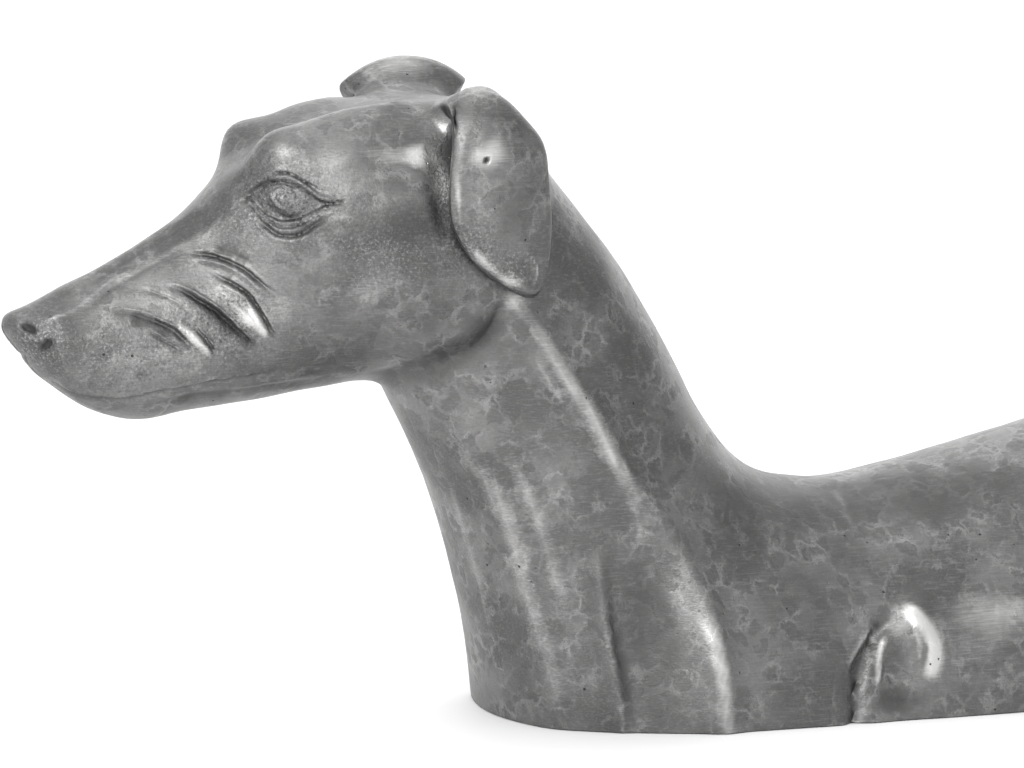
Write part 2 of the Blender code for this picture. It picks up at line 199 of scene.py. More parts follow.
@dataclass(frozen=True)
class Swell:
    """A bell-shaped rise of the surface round a point on both sides. Minus is a hollow.

    Attributes:
        centre: Its middle (x, |y|, z).
        radii: How far it reaches along each axis.
        height: How far its middle is lifted.
    """

    centre: tuple[float, float, float]
    radii: tuple[float, float, float]
    height: float

    def lift(self, points: Array) -> Array:
        """Height times the bell of the distance from the centre, in radii."""
        folded = points * (1, 0, 1) + np.abs(points) * (0, 1, 0)
        reach = (folded - np.array(self.centre)) / np.array(self.radii)
        return self.height * np.exp(-np.sum(reach**2, axis=-1))


@dataclass(frozen=True)
class CarvedLine:
    """A line carved on both sides of the dog, drawn in the side view.

    Attributes:
        points: The line's (x, z) points, which a smooth curve joins.
        width: How far it reaches to each side.
        height: How far its middle is lifted. A groove's is negative.
        cut: What it is like across.
        lip: Height of the lips beside a groove, on the left and on the right.
        fade: Shares of the length over which it fades in and out.
        reach: How far a step's proud side takes to die away.
        least_y: It is cut only where |y| is over this.
        shine: How bright its painted highlight is, or how dark its painted shade is if below 0.
        steep: How many times narrower than its width a groove is on the left.
        gentle: The same on the right.
    """

    points: Points
    width: float
    height: float
    cut: Cut = Cut.GROOVE
    lip: tuple[float, float] = (0.0, 0.0)
    fade: tuple[float, float] = (0.2, 0.3)
    reach: float = 20.0
    least_y: float = 0.0
    shine: float = 0.0
    steep: float = 1.6
    gentle: float = 0.7

    def beside(self, points: Array) -> tuple[Array, Array]:
        """Where points lie beside the line.

        Each short run of the curve gives the nearest place on it, and the nearest run wins.

        Args:
            points: Points [n, 3].

        Returns:
            Distance from the line, positive on its left, and the share of its length beside.
        """
        line = np.array(self.points, float)
        order = np.arange(len(line))
        fine = smooth_line(order, line, np.linspace(0, order[-1], RUNS_EACH * order[-1] + 1))
        runs = np.diff(fine, axis=0)
        lengths = np.hypot(*runs.T)
        starts = np.concatenate([[0], np.cumsum(lengths)])
        flat = points[:, ::2]
        nearest = np.full(len(points), np.inf)
        signed = np.zeros(len(points))
        share = np.zeros(len(points))
        for start, run, length, begin in zip(fine, runs, lengths, starts):
            offset = flat - start
            along = np.clip(offset @ run / length**2, 0, 1)
            away = np.linalg.norm(offset - along[:, None] * run, axis=-1)
            left = np.sign(run[0] * offset[:, 1] - run[1] * offset[:, 0])
            closer = away < nearest
            nearest = np.where(closer, away, nearest)
            signed = np.where(closer, away * left, signed)
            share = np.where(closer, (begin + along * length) / starts[-1], share)
        return signed, share

    def near(self, points: Array) -> Array:
        """Whether each point is near enough for the line to reach it."""
        spread = self.reach * 2 if self.cut is Cut.STEP else self.width * 4
        line = np.array(self.points, float)
        low, high = line.min(axis=0) - spread, line.max(axis=0) + spread
        flat = points[:, ::2]
        return np.all((flat > low) & (flat < high), axis=-1) & (np.abs(points[:, 1]) >= self.least_y)

    def lift(self, points: Array) -> Array:
        """How far the line lifts each point, worked out only for points near it.

        Args:
            points: Points [n, 3].

        Returns:
            The lift of each point.
        """
        near = self.near(points)
        lift = np.zeros(len(points))
        lift[near] = self.across(*self.beside(points[near]))
        return lift

    def painted_sheen(self, points: Array) -> Array:
        """How bright the line's painted highlight makes each point, or how dark its painted shade: its
        shine times a bell of the distance.
        """
        near = self.near(points)
        painted_sheen = np.zeros(len(points))
        signed, share = self.beside(points[near])
        painted_sheen[near] = self.shine * bell(signed / self.width) * self.faded(share)
        return painted_sheen

    def faded(self, share: Array) -> Array:
        """How much of the line is there at each share of its length, from 0 at its ends to 1."""
        start, end = (max(part, TINY) for part in self.fade)
        return ease(share / start) * ease((1 - share) / end)

    def across(self, signed: Array, share: Array) -> Array:
        """The profile across the line, faded at its ends.

        A roll is a bell of the distance. A groove is a bell, narrower on the left, with two smaller
        bells as its lips. A step is half of one plus the tanh of the distance, times a wide bell.

        Args:
            signed: Distance, positive on the left.
            share: Share of the line's length beside.

        Returns:
            The lift.
        """
        ends = self.faded(share)
        away = signed / self.width
        if self.cut is Cut.STEP:
            proud = 0.5 * (1 + np.tanh(away)) * bell(signed / self.reach)
            return self.height * proud * ends
        if self.cut is Cut.ROLL:
            return self.height * bell(away) * ends
        away = away * np.where(signed > 0, self.steep, self.gentle)
        left, right = self.lip
        return (self.height * bell(away) + left * bell(away - 2) + right * bell(away + 2)) * ends


def roll(points: Points, width: float, height: float, **how: Any) -> CarvedLine:
    """A soft ridge along the points, or a hollow if its height is negative."""
    return CarvedLine(points, width, height, Cut.ROLL, **how)


def total(forms: dict[str, Any], points: Array) -> Array:
    """The sum of the lifts that the forms give the points."""
    return sum(form.lift(points) for form in forms.values())


# The large soft forms of the head, the neck and the body.
SWELLS: dict[str, Swell] = {
    "brow": Swell((-252.5, 27, 250.5), (13, 13, 13), 15.5),
    "crest of the skull": Swell((-214, 28, 261), (40, 14, 12), 7.0),
    "root of the ear": Swell((-170, 33, 262), (20, 16, 14), 6.0),
    "skull before the ear": Swell((-181, 42, 257), (9, 9, 9), 4.5),
    "furrow of the forehead": Swell((-235, 0, 250), (36, 9, 20), -2.0),
    "eye socket": Swell((-252, 32, 224), (17, 16, 12), -3.5),
    "eyeball": Swell((-247, 32, 225), (8, 12, 7), 3.5),
    "cheekbone": Swell((-222, 45, 208), (26, 16, 7), 2.5),
    "temple": Swell((-212, 46, 236), (20, 14, 11), -2.5),
    "jaw muscle": Swell((-188, 47, 178), (24, 20, 20), 2.5),
    "hollow before the eye": Swell((-279, 28, 197), (16, 12, 9), -2.0),
    "upper lip": Swell((-306, 20, 158), (26, 12, 10), 1.8),
    "chest hollow": Swell((-101, 64, 34), (13, 20, 28), -5.5),
    "shoulder point": Swell((21, 74, 38), (9, 14, 11), 4.0),
    "armpit": Swell((7, 78, 16), (8, 14, 13), -3.5),
}

# The large forms that run along a line.
DEEP_LINES: dict[str, CarvedLine] = {
    "channel before the ear": roll(((-182.5, 252), (-184.2, 246), (-185.6, 238), (-186.2, 228),
        (-185.8, 217), (-182.5, 204)), 5.0, -1.8, fade=(0.3, 0.3), least_y=30),
    "back of the jaw": roll(((-157, 186), (-159.5, 172), (-167, 162), (-177, 156), (-190, 152),
        (-206, 149)), 5.5, -3.0),
    "long neck muscle": roll(((-150, 186), (-134, 153), (-113, 118), (-90, 85), (-76, 50), (-71, -10)),
        8.0, 3.5, fade=(0.18, 0.05)),
    "front neck muscle": roll(((-176, 139), (-160, 106), (-148, 77), (-139, 40), (-132, -10)), 8.0, 2.5,
        fade=(0.18, 0.05)),
    "chest string": roll(((-117, 80), (-116.5, 50), (-112, 0)), 4.0, 2.0, fade=(0.2, 0.1)),
    "shoulder groove": roll(((15, 44), (4, 37), (-7, 27), (-12, 14), (-13, -6)), 3.0, -3.5,
        fade=(0.25, 0.05)),
}

# The fine carving, from the nose to the shoulder, with painted highlight and painted shade along many of
# its lines.
CARVED_LINES: dict[str, CarvedLine] = {
    # creases round the eye
    "crease over the upper lid": CarvedLine(((-256.5, 230), (-254, 232.5), (-251.5, 234.7),
        (-248.2, 235.3), (-243.8, 234), (-238.8, 231), (-232.3, 226.8)), 0.85, -1.0, lip=(0.5, 0.0)),
    "edge of the upper lid": roll(((-259.5, 225), (-256, 229), (-253.2, 231.3), (-249.5, 231.8),
        (-245, 231), (-240.3, 228.3), (-236.4, 225), (-231.5, 224)), 0.6, -0.5, fade=(0.1, 0.2),
        shine=-1.1),
    "hollow under the iris": roll(((-253.8, 224.5), (-252.2, 221), (-249.8, 218.8), (-247, 217.6),
        (-244, 218), (-240.8, 220.3)), 1.3, -0.6, fade=(0.2, 0.3), shine=-0.9),
    "line in the lower lid": roll(((-256, 218), (-253.3, 215.3), (-250, 213.6), (-246.5, 213.4),
        (-242, 214.8), (-237.5, 217.5)), 0.45, -0.4, shine=-0.5),
    "crease under the lower lid": CarvedLine(((-257, 217.5), (-254.2, 213.6), (-250.5, 211.2),
        (-246.6, 210.4), (-242.7, 211.6), (-238.4, 214.5), (-234, 217.5), (-230, 220.5)), 0.8, -1.1,
        lip=(0.3, 0.3), fade=(0.15, 0.4)),
    "tail of the eye": CarvedLine(((-236.5, 224.6), (-232, 223.8), (-226, 224.2), (-221, 225),
        (-216.5, 225.9), (-211, 224.8), (-203, 222)), 0.8, -1.0, lip=(0.6, 0.2), fade=(0.1, 0.5)),
    "inner corner": CarvedLine(((-262.5, 222.5), (-260, 224.3), (-257.5, 226.8)), 0.7, -0.8,
        fade=(0.5, 0.2)),
    # the nostrils and the back edge of the nose pad
    "nostril": roll(((-353, 176.2), (-350.5, 175.2), (-348.2, 174), (-345.8, 172.4)), 1.6, -1.2,
        fade=(0.35, 0.35), least_y=5, shine=-1.3),
    "lower nostril": roll(((-341.6, 172), (-342, 169), (-343.8, 166.9), (-347.2, 165.2)), 1.7, -0.9,
        fade=(0.35, 0.35), least_y=5, shine=-1.5),
    "wing of the nostril": roll(((-352.5, 171.5), (-349.5, 170.8), (-346.5, 169.2), (-344.8, 170.5)), 1.0,
        0.7, fade=(0.3, 0.3), least_y=4),
    "back of the nose pad": CarvedLine(((-339, 181), (-339.5, 174), (-340.5, 166), (-345.5, 160)), 0.9,
        0.8, Cut.STEP, fade=(0.2, 0.2), reach=7.0),
    # slanting cuts behind the muzzle, with rolls between them
    "first fold": CarvedLine(((-317, 180), (-307, 179.6), (-300.5, 177), (-294, 173.6), (-290, 170.3),
        (-286, 166.4), (-281.5, 162)), 0.95, -1.3, lip=(0.5, 0.1), fade=(0.3, 0.3)),
    "hollow under the first fold": roll(((-310, 177.5), (-300, 174.5), (-291, 168.5)), 2.2, -0.8,
        shine=-0.5),
    "short line over it": CarvedLine(((-305, 189), (-297, 187.5), (-289, 182.5), (-284, 177)), 0.7, -0.5),
    "short fold below it": CarvedLine(((-303.5, 173), (-294.5, 167.4), (-288.5, 163.6)), 0.7, -0.7,
        lip=(0.3, 0.1)),
    "roll of the first fold": roll(((-293, 176.5), (-286, 170.5), (-280, 164), (-276.5, 159)), 1.9, 1.0,
        shine=0.6),
    "second fold": CarvedLine(((-295, 190.8), (-287.3, 187.9), (-281, 184.2), (-274.5, 179.5),
        (-269, 174), (-263.5, 168.2), (-258, 162)), 1.15, -1.8, lip=(0.9, 0.0), fade=(0.3, 0.3)),
    "gash of the second fold": roll(((-286, 186), (-278, 180.6), (-270.5, 173), (-264, 165.8)), 2.4, -1.0,
        fade=(0.4, 0.3), shine=-0.3),
    "fold below the second": CarvedLine(((-284.5, 173.8), (-279.6, 168), (-275, 161)), 0.75, -0.9,
        lip=(0.5, 0.1)),
    "roll before the third": roll(((-273, 185), (-265.5, 179.5), (-260, 173.5), (-256.5, 167)), 2.4, 1.5,
        fade=(0.35, 0.3)),
    "third fold": CarvedLine(((-276.5, 195), (-270, 192), (-264.2, 187.6), (-259.6, 182.6),
        (-256.2, 176.4), (-252.6, 170.4), (-248.5, 166)), 0.85, -1.5, lip=(0.3, 0.8), fade=(0.25, 0.3)),
    "fold under the eye": CarvedLine(((-285, 202.2), (-276, 201.9), (-269, 200.2), (-264.5, 197.2),
        (-260, 193.4), (-255, 189), (-248.5, 183.8)), 0.85, -1.3, lip=(0.2, 0.7), fade=(0.25, 0.35)),
    "hollow over it": roll(((-275, 204), (-266, 202), (-259.5, 197)), 1.6, -0.7, shine=-0.5),
    "short fold behind": CarvedLine(((-244.5, 195.8), (-237, 191)), 0.7, -0.5, lip=(0.2, 0.2)),
    "second short fold behind": CarvedLine(((-250, 190), (-244, 185.5), (-240, 181)), 0.7, -0.4,
        lip=(0.2, 0.2)),
    "line from the inner corner": roll(((-262, 222), (-272, 213), (-284, 206.5), (-298, 200)), 1.8, 0.8,
        fade=(0.3, 0.5), shine=0.25),
    "pale line of the bridge": roll(((-345.5, 176.4), (-339.6, 178), (-333, 180.2), (-327, 183.4),
        (-321, 187.5), (-315, 191.6), (-306, 196), (-293, 202.8), (-281, 209.5)), 0.9, 0.35,
        fade=(0.1, 0.6), shine=0.5),
    "groove under the pale line": roll(((-333, 177.5), (-327, 180.5), (-321, 184.6), (-315, 188.7),
        (-306, 193.3), (-293, 200), (-281, 206.7)), 1.0, -0.4, fade=(0.2, 0.5), shine=-0.5),
    "groove over the pale line": roll(((-330, 186), (-321, 191), (-308, 198), (-294, 206), (-280, 214),
        (-268, 222)), 1.0, -0.4, fade=(0.2, 0.4), shine=-0.45),
    "short pale line over it": roll(((-345, 179.4), (-339.4, 182.7), (-329, 186.7)), 0.8, 0.2,
        shine=0.35),
    "ridge beside the bridge": roll(((-262, 229), (-276, 219), (-294, 209), (-308, 201)), 1.6, 0.5,
        fade=(0.2, 0.4), shine=0.3),
    # the cut between the lips and the bands along it
    "mouth": CarvedLine(((-339, 153), (-333, 147.6), (-324.8, 145.4), (-313.7, 144.8), (-302.2, 146.8),
        (-290.2, 149), (-276.4, 150.4), (-264.6, 151.6), (-256.5, 152.6), (-243.5, 154)), 0.8, -1.2,
        lip=(0.5, 0.0), fade=(0.12, 0.2)),
    "inset of the lower jaw": roll(((-333, 144.5), (-318, 140.5), (-300, 141.5), (-276, 145),
        (-255, 147.5)), 3.5, -0.8, fade=(0.2, 0.4)),
    "lower lip": roll(((-270, 147.4), (-258, 148.6), (-242, 150.3), (-224, 151.2)), 1.3, 0.8),
    "under the lower lip": roll(((-300, 141.8), (-280, 143.8), (-262, 145.4), (-244, 147.2),
        (-222, 148.6)), 1.6, -0.8),
    "edge of the upper lip": roll(((-318, 149.5), (-303, 151.5), (-288, 154), (-270, 156)), 2.6, 0.7),
    # the border of the jaw against the neck, and the muscle over it
    "border of the jaw": CarvedLine(((-158, 186), (-159.8, 179), (-161.5, 170.9), (-167.5, 162.8),
        (-175.1, 157.8), (-186.2, 153.9), (-196, 152), (-206, 151), (-216, 152.4)), 1.7, -1.7, Cut.STEP,
        fade=(0.3, 0.35), reach=10.0),
    "crease over the jaw muscle": roll(((-210, 188.5), (-203, 185.6), (-196, 183.6), (-189, 186),
        (-183.5, 191.5)), 1.6, -0.8),
    "cheekbone edge": roll(((-236, 212), (-228, 217.5), (-213, 214.8), (-203, 215.5), (-195, 218.5)), 2.2,
        0.8, fade=(0.3, 0.4)),
    "temple line": roll(((-232, 237), (-218, 243), (-204, 246.5), (-191, 252)), 2.6, 0.9,
        fade=(0.3, 0.4)),
    # strings down the neck, the fold of the shoulder and the bright lines on the ears, which are painted
    # highlights
    "slit over the channel": roll(((-180.4, 264), (-181.4, 260), (-182.5, 256), (-183.1, 251)), 0.55,
        -1.2, fade=(0.4, 0.4), least_y=46, shine=-1.8),
    "front rim of the ear": roll(((-183, 242), (-183.2, 232), (-182, 220), (-180, 211), (-174.5, 202.5)),
        1.1, 0.0, fade=(0.4, 0.5), shine=0.5, least_y=51),
    "line behind the rim": roll(((-171.5, 236), (-174, 227), (-174.6, 218), (-172.5, 207)), 0.8, 0.3,
        shine=0.5, least_y=52),
    "lower rim of the ear": roll(((-177.5, 206), (-171.5, 199.5), (-163.5, 192.5), (-153.5, 186.5)), 2.2,
        0.0, shine=0.7, least_y=50),
    "curled lip at the tip": roll(((-157, 206.5), (-151.5, 200.5), (-147.8, 196), (-148.2, 190),
        (-152, 187)), 0.7, 0.5, shine=0.6, least_y=50),
    "upper streak of the tip": roll(((-162, 206), (-157.5, 199), (-154, 192)), 0.5, 0.2, shine=0.5,
        least_y=50),
    "lower streak of the tip": roll(((-166, 203), (-161, 196), (-157.5, 190)), 0.5, 0.2, shine=0.5,
        least_y=50),
    "crest of the long muscle": roll(((-146, 181), (-135, 153), (-122, 135), (-113, 118), (-98, 98),
        (-85, 79), (-79, 63), (-73.5, 42.5), (-72, 10)), 3.2, 1.6, fade=(0.2, 0.1)),
    "string behind the throat": roll(((-175.4, 138.7), (-166.5, 115), (-156.4, 98.7), (-148.4, 77),
        (-142.6, 52.7), (-135.6, 27), (-133, 2)), 3.8, 1.0, fade=(0.3, 0.1), shine=0.36),
    "string at the throat": roll(((-179.8, 129), (-170.6, 106), (-163.2, 84), (-155.8, 58.6), (-151, 34),
        (-147.6, 4)), 1.6, 0.7, fade=(0.3, 0.1), shine=0.25),
    "second string behind the throat": roll(((-160, 128), (-150, 110), (-140, 88), (-133, 62),
        (-128, 34)), 3.0, 0.8, fade=(0.3, 0.3), shine=0.3),
    "string in the chest hollow": roll(((-119, 72), (-117.3, 62), (-116.7, 46), (-114.8, 32), (-112, 14),
        (-110, -6)), 2.0, 1.0, fade=(0.3, 0.05), shine=0.45),
    "groove beside it": roll(((-113.5, 74), (-112.3, 52), (-110, 32), (-106, 8)), 2.4, -1.0,
        fade=(0.4, 0.1)),
    "fold before the shoulder": roll(((12.5, 42.6), (5.1, 38.8), (-0.8, 34), (-5.2, 27.4), (-8.5, 22.3),
        (-10.8, 15.6), (-12.3, 7.1), (-13, -8)), 1.3, -1.4, fade=(0.2, 0.05), shine=-0.5),
    "roll before it": roll(((3.2, 41), (-4.3, 34.6), (-10.9, 27.5), (-17.5, 20.7)), 2.4, 1.0,
        fade=(0.3, 0.3), shine=0.6),
    # lines of no height: painted highlight only, along the neck muscles and down to the shoulder
    "shine of the long muscle": roll(((-158, 183), (-147, 172), (-135, 156), (-121, 134), (-110.5, 111),
        (-97, 78), (-84, 56), (-75.5, 38), (-72, 16), (-71, -6)), 4.6, 0.0, fade=(0.1, 0.02), shine=0.55),
    "bright crest low on the neck": roll(((-88, 62), (-79, 47), (-74.5, 34), (-72, 16), (-71.5, -6)), 2.6,
        0.0, fade=(0.4, 0.02), shine=0.35),
    "pale line down the front": roll(((-170, 104), (-167, 94), (-163, 83), (-158, 66), (-155, 54), (-151.5, 34)),
        0.9, 0.0, fade=(0.1, 0.1), shine=0.15),
    "pale line on the nape": roll(((-126, 186), (-116, 171), (-110, 159), (-103, 146)), 1.3, 0.0,
        fade=(0.2, 0.2), shine=0.45),
    "pale line behind the long muscle": roll(((-99, 108), (-88, 95), (-78, 78), (-74, 66), (-63, 45)), 1.5,
        0.0, fade=(0.2, 0.2), shine=0.4),
    "pale line down to the shoulder": roll(((4, 89), (6, 84), (4, 75), (11, 67), (12, 56), (16, 48)), 1.6, 0.0,
        fade=(0.1, 0.1), shine=0.55),
    "line beside the long muscle": roll(((-146, 160), (-137, 146), (-128, 131)), 0.8, 0.5, shine=0.5),
    "groove beside the long muscle": roll(((-142, 161), (-133, 147), (-124, 131)), 1.2, -0.5),
    "strip behind it": roll(((8.5, 35.9), (3.1, 30), (0.6, 24.7), (-1.5, 17.2), (-2.8, 12.3)), 1.5, 0.8,
        fade=(0.3, 0.2), shine=1.3),
    "arch over the armpit": roll(((13, 42), (16, 43.5), (19.5, 40.5), (23.5, 35), (25.4, 29),
        (24.6, 23.2), (20.8, 18), (17.2, 15)), 3.4, 0.6, fade=(0.15, 0.2), shine=1.15),
    "strip inside the arch": roll(((16.5, 38), (17.8, 33.7), (18.2, 27.3), (17.2, 21.3)), 1.5, 0.4,
        fade=(0.3, 0.3), shine=0.6),
    "groove inside the arch": roll(((21.5, 33), (21.3, 27), (19.5, 21), (17.5, 17.5)), 1.0, -0.6,
        fade=(0.3, 0.3), shine=-0.5),
}

# Painted highlights, with their strength as height, and painted shade where it is minus, spotted where
# light and shade fall.
PAINTED_SPOTS: dict[str, Swell] = {
    "patch round the ear's hole": Swell((-171, 61, 241.5), (8.5, 12, 5.5), 1.05),
    "patch towards the rim": Swell((-168, 62, 247.5), (5, 10, 5), 0.55),
    "rim of the ear": Swell((-182.3, 56, 228), (1.8, 8, 7), 0.5),
    "lower rim of the ear": Swell((-170, 58, 200), (6, 8, 5), 0.3),
    "tip of the ear": Swell((-156.5, 58, 190), (5.5, 8, 4.0), 0.5),
    "painted shade on the side of the ear": Swell((-149, 58, 232), (7, 12, 14), -0.8),
    "middle of the ear": Swell((-160, 60, 219), (9, 10, 14), -0.75),
    "temple before the channel": Swell((-193.5, 42, 241), (5, 14, 5.5), 1.1),
    "temple": Swell((-204, 42, 241), (14, 14, 4.2), 0.7),
    "painted shade on the temple": Swell((-205, 46, 231), (11, 14, 4.5), -0.8),
    "painted shade on top of the temple": Swell((-208, 38, 252), (16, 14, 4), -0.5),
    "small patch over the channel": Swell((-181, 38, 252), (2.2, 12, 2.6), 1.1),
    "channel": Swell((-187.5, 45, 226), (5, 10, 20), 0.75),
    "cheek under the eye's tail": Swell((-216, 49, 214.5), (24, 14, 8), -1.0),
    "painted shade on the cheek": Swell((-197, 52, 212), (10, 14, 10), -0.5),
    "cheek crescent": Swell((-220, 42, 185), (17, 14, 8), 0.38),
    "upper cheek": Swell((-209, 48, 192), (15, 14, 7), 0.35),
    "painted shade on the jaw": Swell((-192, 47, 174), (16, 14, 9), -0.7),
    "painted shade behind the jaw": Swell((-167, 45, 170), (9, 14, 8), -0.7),
    "pale under the ear": Swell((-154, 47, 179), (6, 14, 5), 0.9),
    "painted highlight on the roll": Swell((-262.5, 32, 177), (6, 10, 4.5), 0.95),
    "end of the roll": Swell((-257, 32, 171), (2.6, 10, 4.5), 1.0),
    "painted shade below the roll": Swell((-262, 31, 167.5), (4.5, 10, 3.5), -1.2),
    "grey before the third fold": Swell((-272, 30, 187), (9, 10, 5), 0.4),
    "cheek behind the folds": Swell((-250, 34, 180), (6, 10, 7), 0.6),
    "painted highlight on the first roll": Swell((-285, 28, 169), (3.5, 10, 5), 0.5),
    "pale lip": Swell((-298, 26, 161), (18, 10, 4.5), 0.5),
    "painted shade on the muzzle": Swell((-318, 24, 168), (14, 12, 7), -0.5),
    "painted shade on the chin": Swell((-322, 22, 152), (12, 10, 6), -0.4),
    "painted shade on the lip behind the chin": Swell((-306, 25, 156), (5, 10, 3.5), -0.7),
    "pale muzzle": Swell((-299, 26, 165), (6, 10, 3), 0.35),
    "painted shade in the nostril": Swell((-349, 11, 174.5), (5, 6, 3), -0.8),
    "painted shade in the lower nostril": Swell((-343, 14, 168), (3.5, 6, 4), -0.7),
    "brow": Swell((-224, 40, 240), (5, 10, 4), -0.5),
    "pale round the eye": Swell((-240, 36, 239), (10, 10, 5), 0.4),
    "pale over the eyeball": Swell((-249, 34, 225), (12, 12, 9), 0.35),
    "top of the far ear": Swell((-172, 38, 272), (26, 20, 8), 0.7),
    "top of the chest hollow": Swell((-98, 62, 50), (13, 14, 20), -1.1),
    "foot of the chest hollow": Swell((-93, 62, 14), (14, 14, 20), -1.1),
    "painted shade behind the chest": Swell((-122, 55, 60), (5, 14, 40), -0.4),
    "pale throat": Swell((-146, 40, 100), (14, 24, 40), 0.16),
    "shoulder point": Swell((17, 73, 42), (4.5, 8, 4), 0.7),
    "shoulder point below": Swell((24.5, 77, 26), (3.2, 8, 8), 0.5),
    "armpit": Swell((10, 77, 26), (5, 8, 8), -0.7),
    "under the armpit": Swell((7, 79, 8), (12, 10, 6), -1.4),
    "pale shoulder": Swell((44, 77, 24), (20, 12, 12), 0.5),
    "pale flank": Swell((58, 72, 41), (36, 20, 9), 0.75),
    "painted shade on the nape": Swell((-45, 50, 92), (40, 40, 16), -0.75),
    "painted shade on the back": Swell((35, 30, 86), (60, 30, 14), -1.1),
    "painted shade on the shoulder": Swell((-10, 68, 66), (36, 20, 20), -0.6),
    "painted shade under the eye": Swell((-235, 36, 213), (8, 12, 4), -0.7),
}

# Places where the punch has roughened the skin.
STIPPLED: dict[str, Swell] = {
    "round the eye": Swell((-248, 32, 224), (20, 20, 16), 1.2),
    "between the folds": Swell((-272, 30, 176), (22, 16, 16), 1.1),
    "muzzle": Swell((-312, 24, 160), (26, 16, 14), 0.6),
    "nose": Swell((-345, 10, 168), (9, 14, 10), 1.3),
    "cheek": Swell((-210, 48, 205), (22, 16, 16), 0.7),
    "front rim of the ear": Swell((-174, 56, 206), (8, 12, 14), 0.9),
    "tip of the ear": Swell((-159, 58, 194), (9, 10, 8), 0.9),
    "channel": Swell((-185, 45, 228), (4, 14, 24), 0.8),
}


@dataclass
class Torso:
    """The loft from the nose over the head and neck to behind the shoulders.

    Each station has a point on the under line and one on the top line. Its section is two quarter
    superellipses, which meet where it is widest.
    """

    top_line: Points = (
        (-357, 174), (-355, 178.5), (-350, 180.8), (-344, 183.2), (-336, 187), (-328, 191),
        (-317, 195.8), (-306, 201.2), (-294, 208), (-281, 215.8), (-270, 225.5), (-257, 239),
        (-241, 249.5), (-222, 255.5), (-198, 258.5), (-173, 261.5), (-150, 257), (-131.5, 240.5),
        (-111.5, 216.5), (-95.5, 197), (-81.5, 176.5), (-67.5, 153.5), (-54, 128.5),
        (-40, 109.5), (-25, 97.5), (-6, 92.3), (14, 91.3), (37, 94.5), (61, 99), (88, 105),
        (120, 112), (161, 118), (210, 121),
    )
    under_line: Points = (
        (-357, 172.5), (-353.5, 167.5), (-348.5, 161.5), (-343.5, 155), (-336, 149), (-324, 140.5),
        (-305, 133.8), (-286, 135.5), (-267, 137.5), (-246, 139.7), (-228, 142), (-212, 143.7),
        (-201, 144), (-193.5, 141.5), (-189, 136.5), (-186, 130), (-182.5, 123), (-178.5, 115),
        (-173, 103), (-168.5, 92), (-164, 79), (-159, 61), (-154.5, 42), (-150, 20),
        (-146, -2), (-137, -40), (-112, -85), (-60, -115), (-5, -125), (50, -125),
        (105, -120), (160, -115), (210, -112),
    )
    half_width: Points = (
        (0, 1), (1, 8), (2, 12.5), (3, 15.5), (4, 18), (6, 24), (8, 29), (10, 36), (12, 46),
        (14, 52), (16, 49), (18, 46), (20, 47.5), (22, 54), (24, 67), (26, 81), (28, 87),
        (32, 88),
    )
    widest_level: Points = (
        (0, 0.5), (3, 0.45), (6, 0.40), (9, 0.42), (12, 0.52), (16, 0.55), (22, 0.48),
        (32, 0.5),
    )
    upper_fullness: Points = (
        (0, 2.0), (4, 1.9), (8, 1.75), (10, 2.0), (12, 2.9), (14, 2.8), (17, 2.2), (20, 2.0),
        (24, 1.85), (32, 1.95),
    )
    lower_fullness: Points = (
        (0, 2.0), (5, 2.1), (9, 2.0), (12, 1.8), (15, 1.9), (18, 2.0), (32, 2.0),
    )
    row_spacing: Points = (
        (0, 1.4), (4, 1.7), (10, 1.8), (16, 2.3), (22, 3.0), (26, 4.0), (32, 9.0),
    )
    half_points: int = 58
    section_steps: int = 900

    def lines_at(self, stations: Array) -> tuple[Array, Array]:
        """The points of the top line and of the under line at the stations."""
        order = np.arange(len(self.top_line))
        top = smooth_line(order, np.array(self.top_line), stations)
        return top, smooth_line(order, np.array(self.under_line), stations)

    def row_stations(self) -> Array:
        """Stations of the rows: the mean travel of both lines, over the spacing, in even steps."""
        fine = np.linspace(0, len(self.top_line) - 1, 3000)
        top, under = self.lines_at(fine)
        travel = (np.hypot(*np.diff(top, axis=0).T) + np.hypot(*np.diff(under, axis=0).T)) / 2
        rows = np.concatenate([[0], np.cumsum(travel / read_knots(self.row_spacing, fine[1:]))])
        return np.interp(np.linspace(0, rows[-1], round(rows[-1])), rows, fine)

    def half_sections(self) -> Array:
        """The half with Y at or above 0: points [row, point, xyz], each row from below to above.

        Along a quarter the turn goes a quarter round, the height is the cosine and the width the
        sine of it, each to the power of two over the fullness. The points are then spread evenly
        along the section.
        """
        stations = self.row_stations()
        top, under = self.lines_at(stations)
        width = read_knots(self.half_width, stations)[:, None]
        level = read_knots(self.widest_level, stations)[:, None]
        turn = np.linspace(0, math.pi, self.section_steps + 1)[None]
        lower = turn <= math.pi / 2
        fullness = np.where(
            lower,
            read_knots(self.lower_fullness, stations)[:, None],
            read_knots(self.upper_fullness, stations)[:, None],
        )
        rise = -np.sign(np.cos(turn)) * np.abs(np.cos(turn)) ** (2 / fullness)
        out = width * np.abs(np.sin(turn)) ** (2 / fullness)
        share = np.where(lower, level * (1 + rise), level + (1 - level) * rise)
        chord = top - under
        length = np.hypot(chord[:, 0], chord[:, 1])[:, None]
        steps = np.hypot(np.diff(share * length, axis=1), np.diff(out, axis=1))
        along = np.concatenate([np.zeros((len(stations), 1)), np.cumsum(steps, axis=1)], axis=1)
        even = np.linspace(0, 1, self.half_points)
        share = np.stack([np.interp(even * a[-1], a, s) for a, s in zip(along, share)])
        out = np.stack([np.interp(even * a[-1], a, o) for a, o in zip(along, out)])
        x = under[:, :1] + chord[:, :1] * share
        z = under[:, 1:] + chord[:, 1:] * share
        return np.stack([x, out, z], axis=-1)

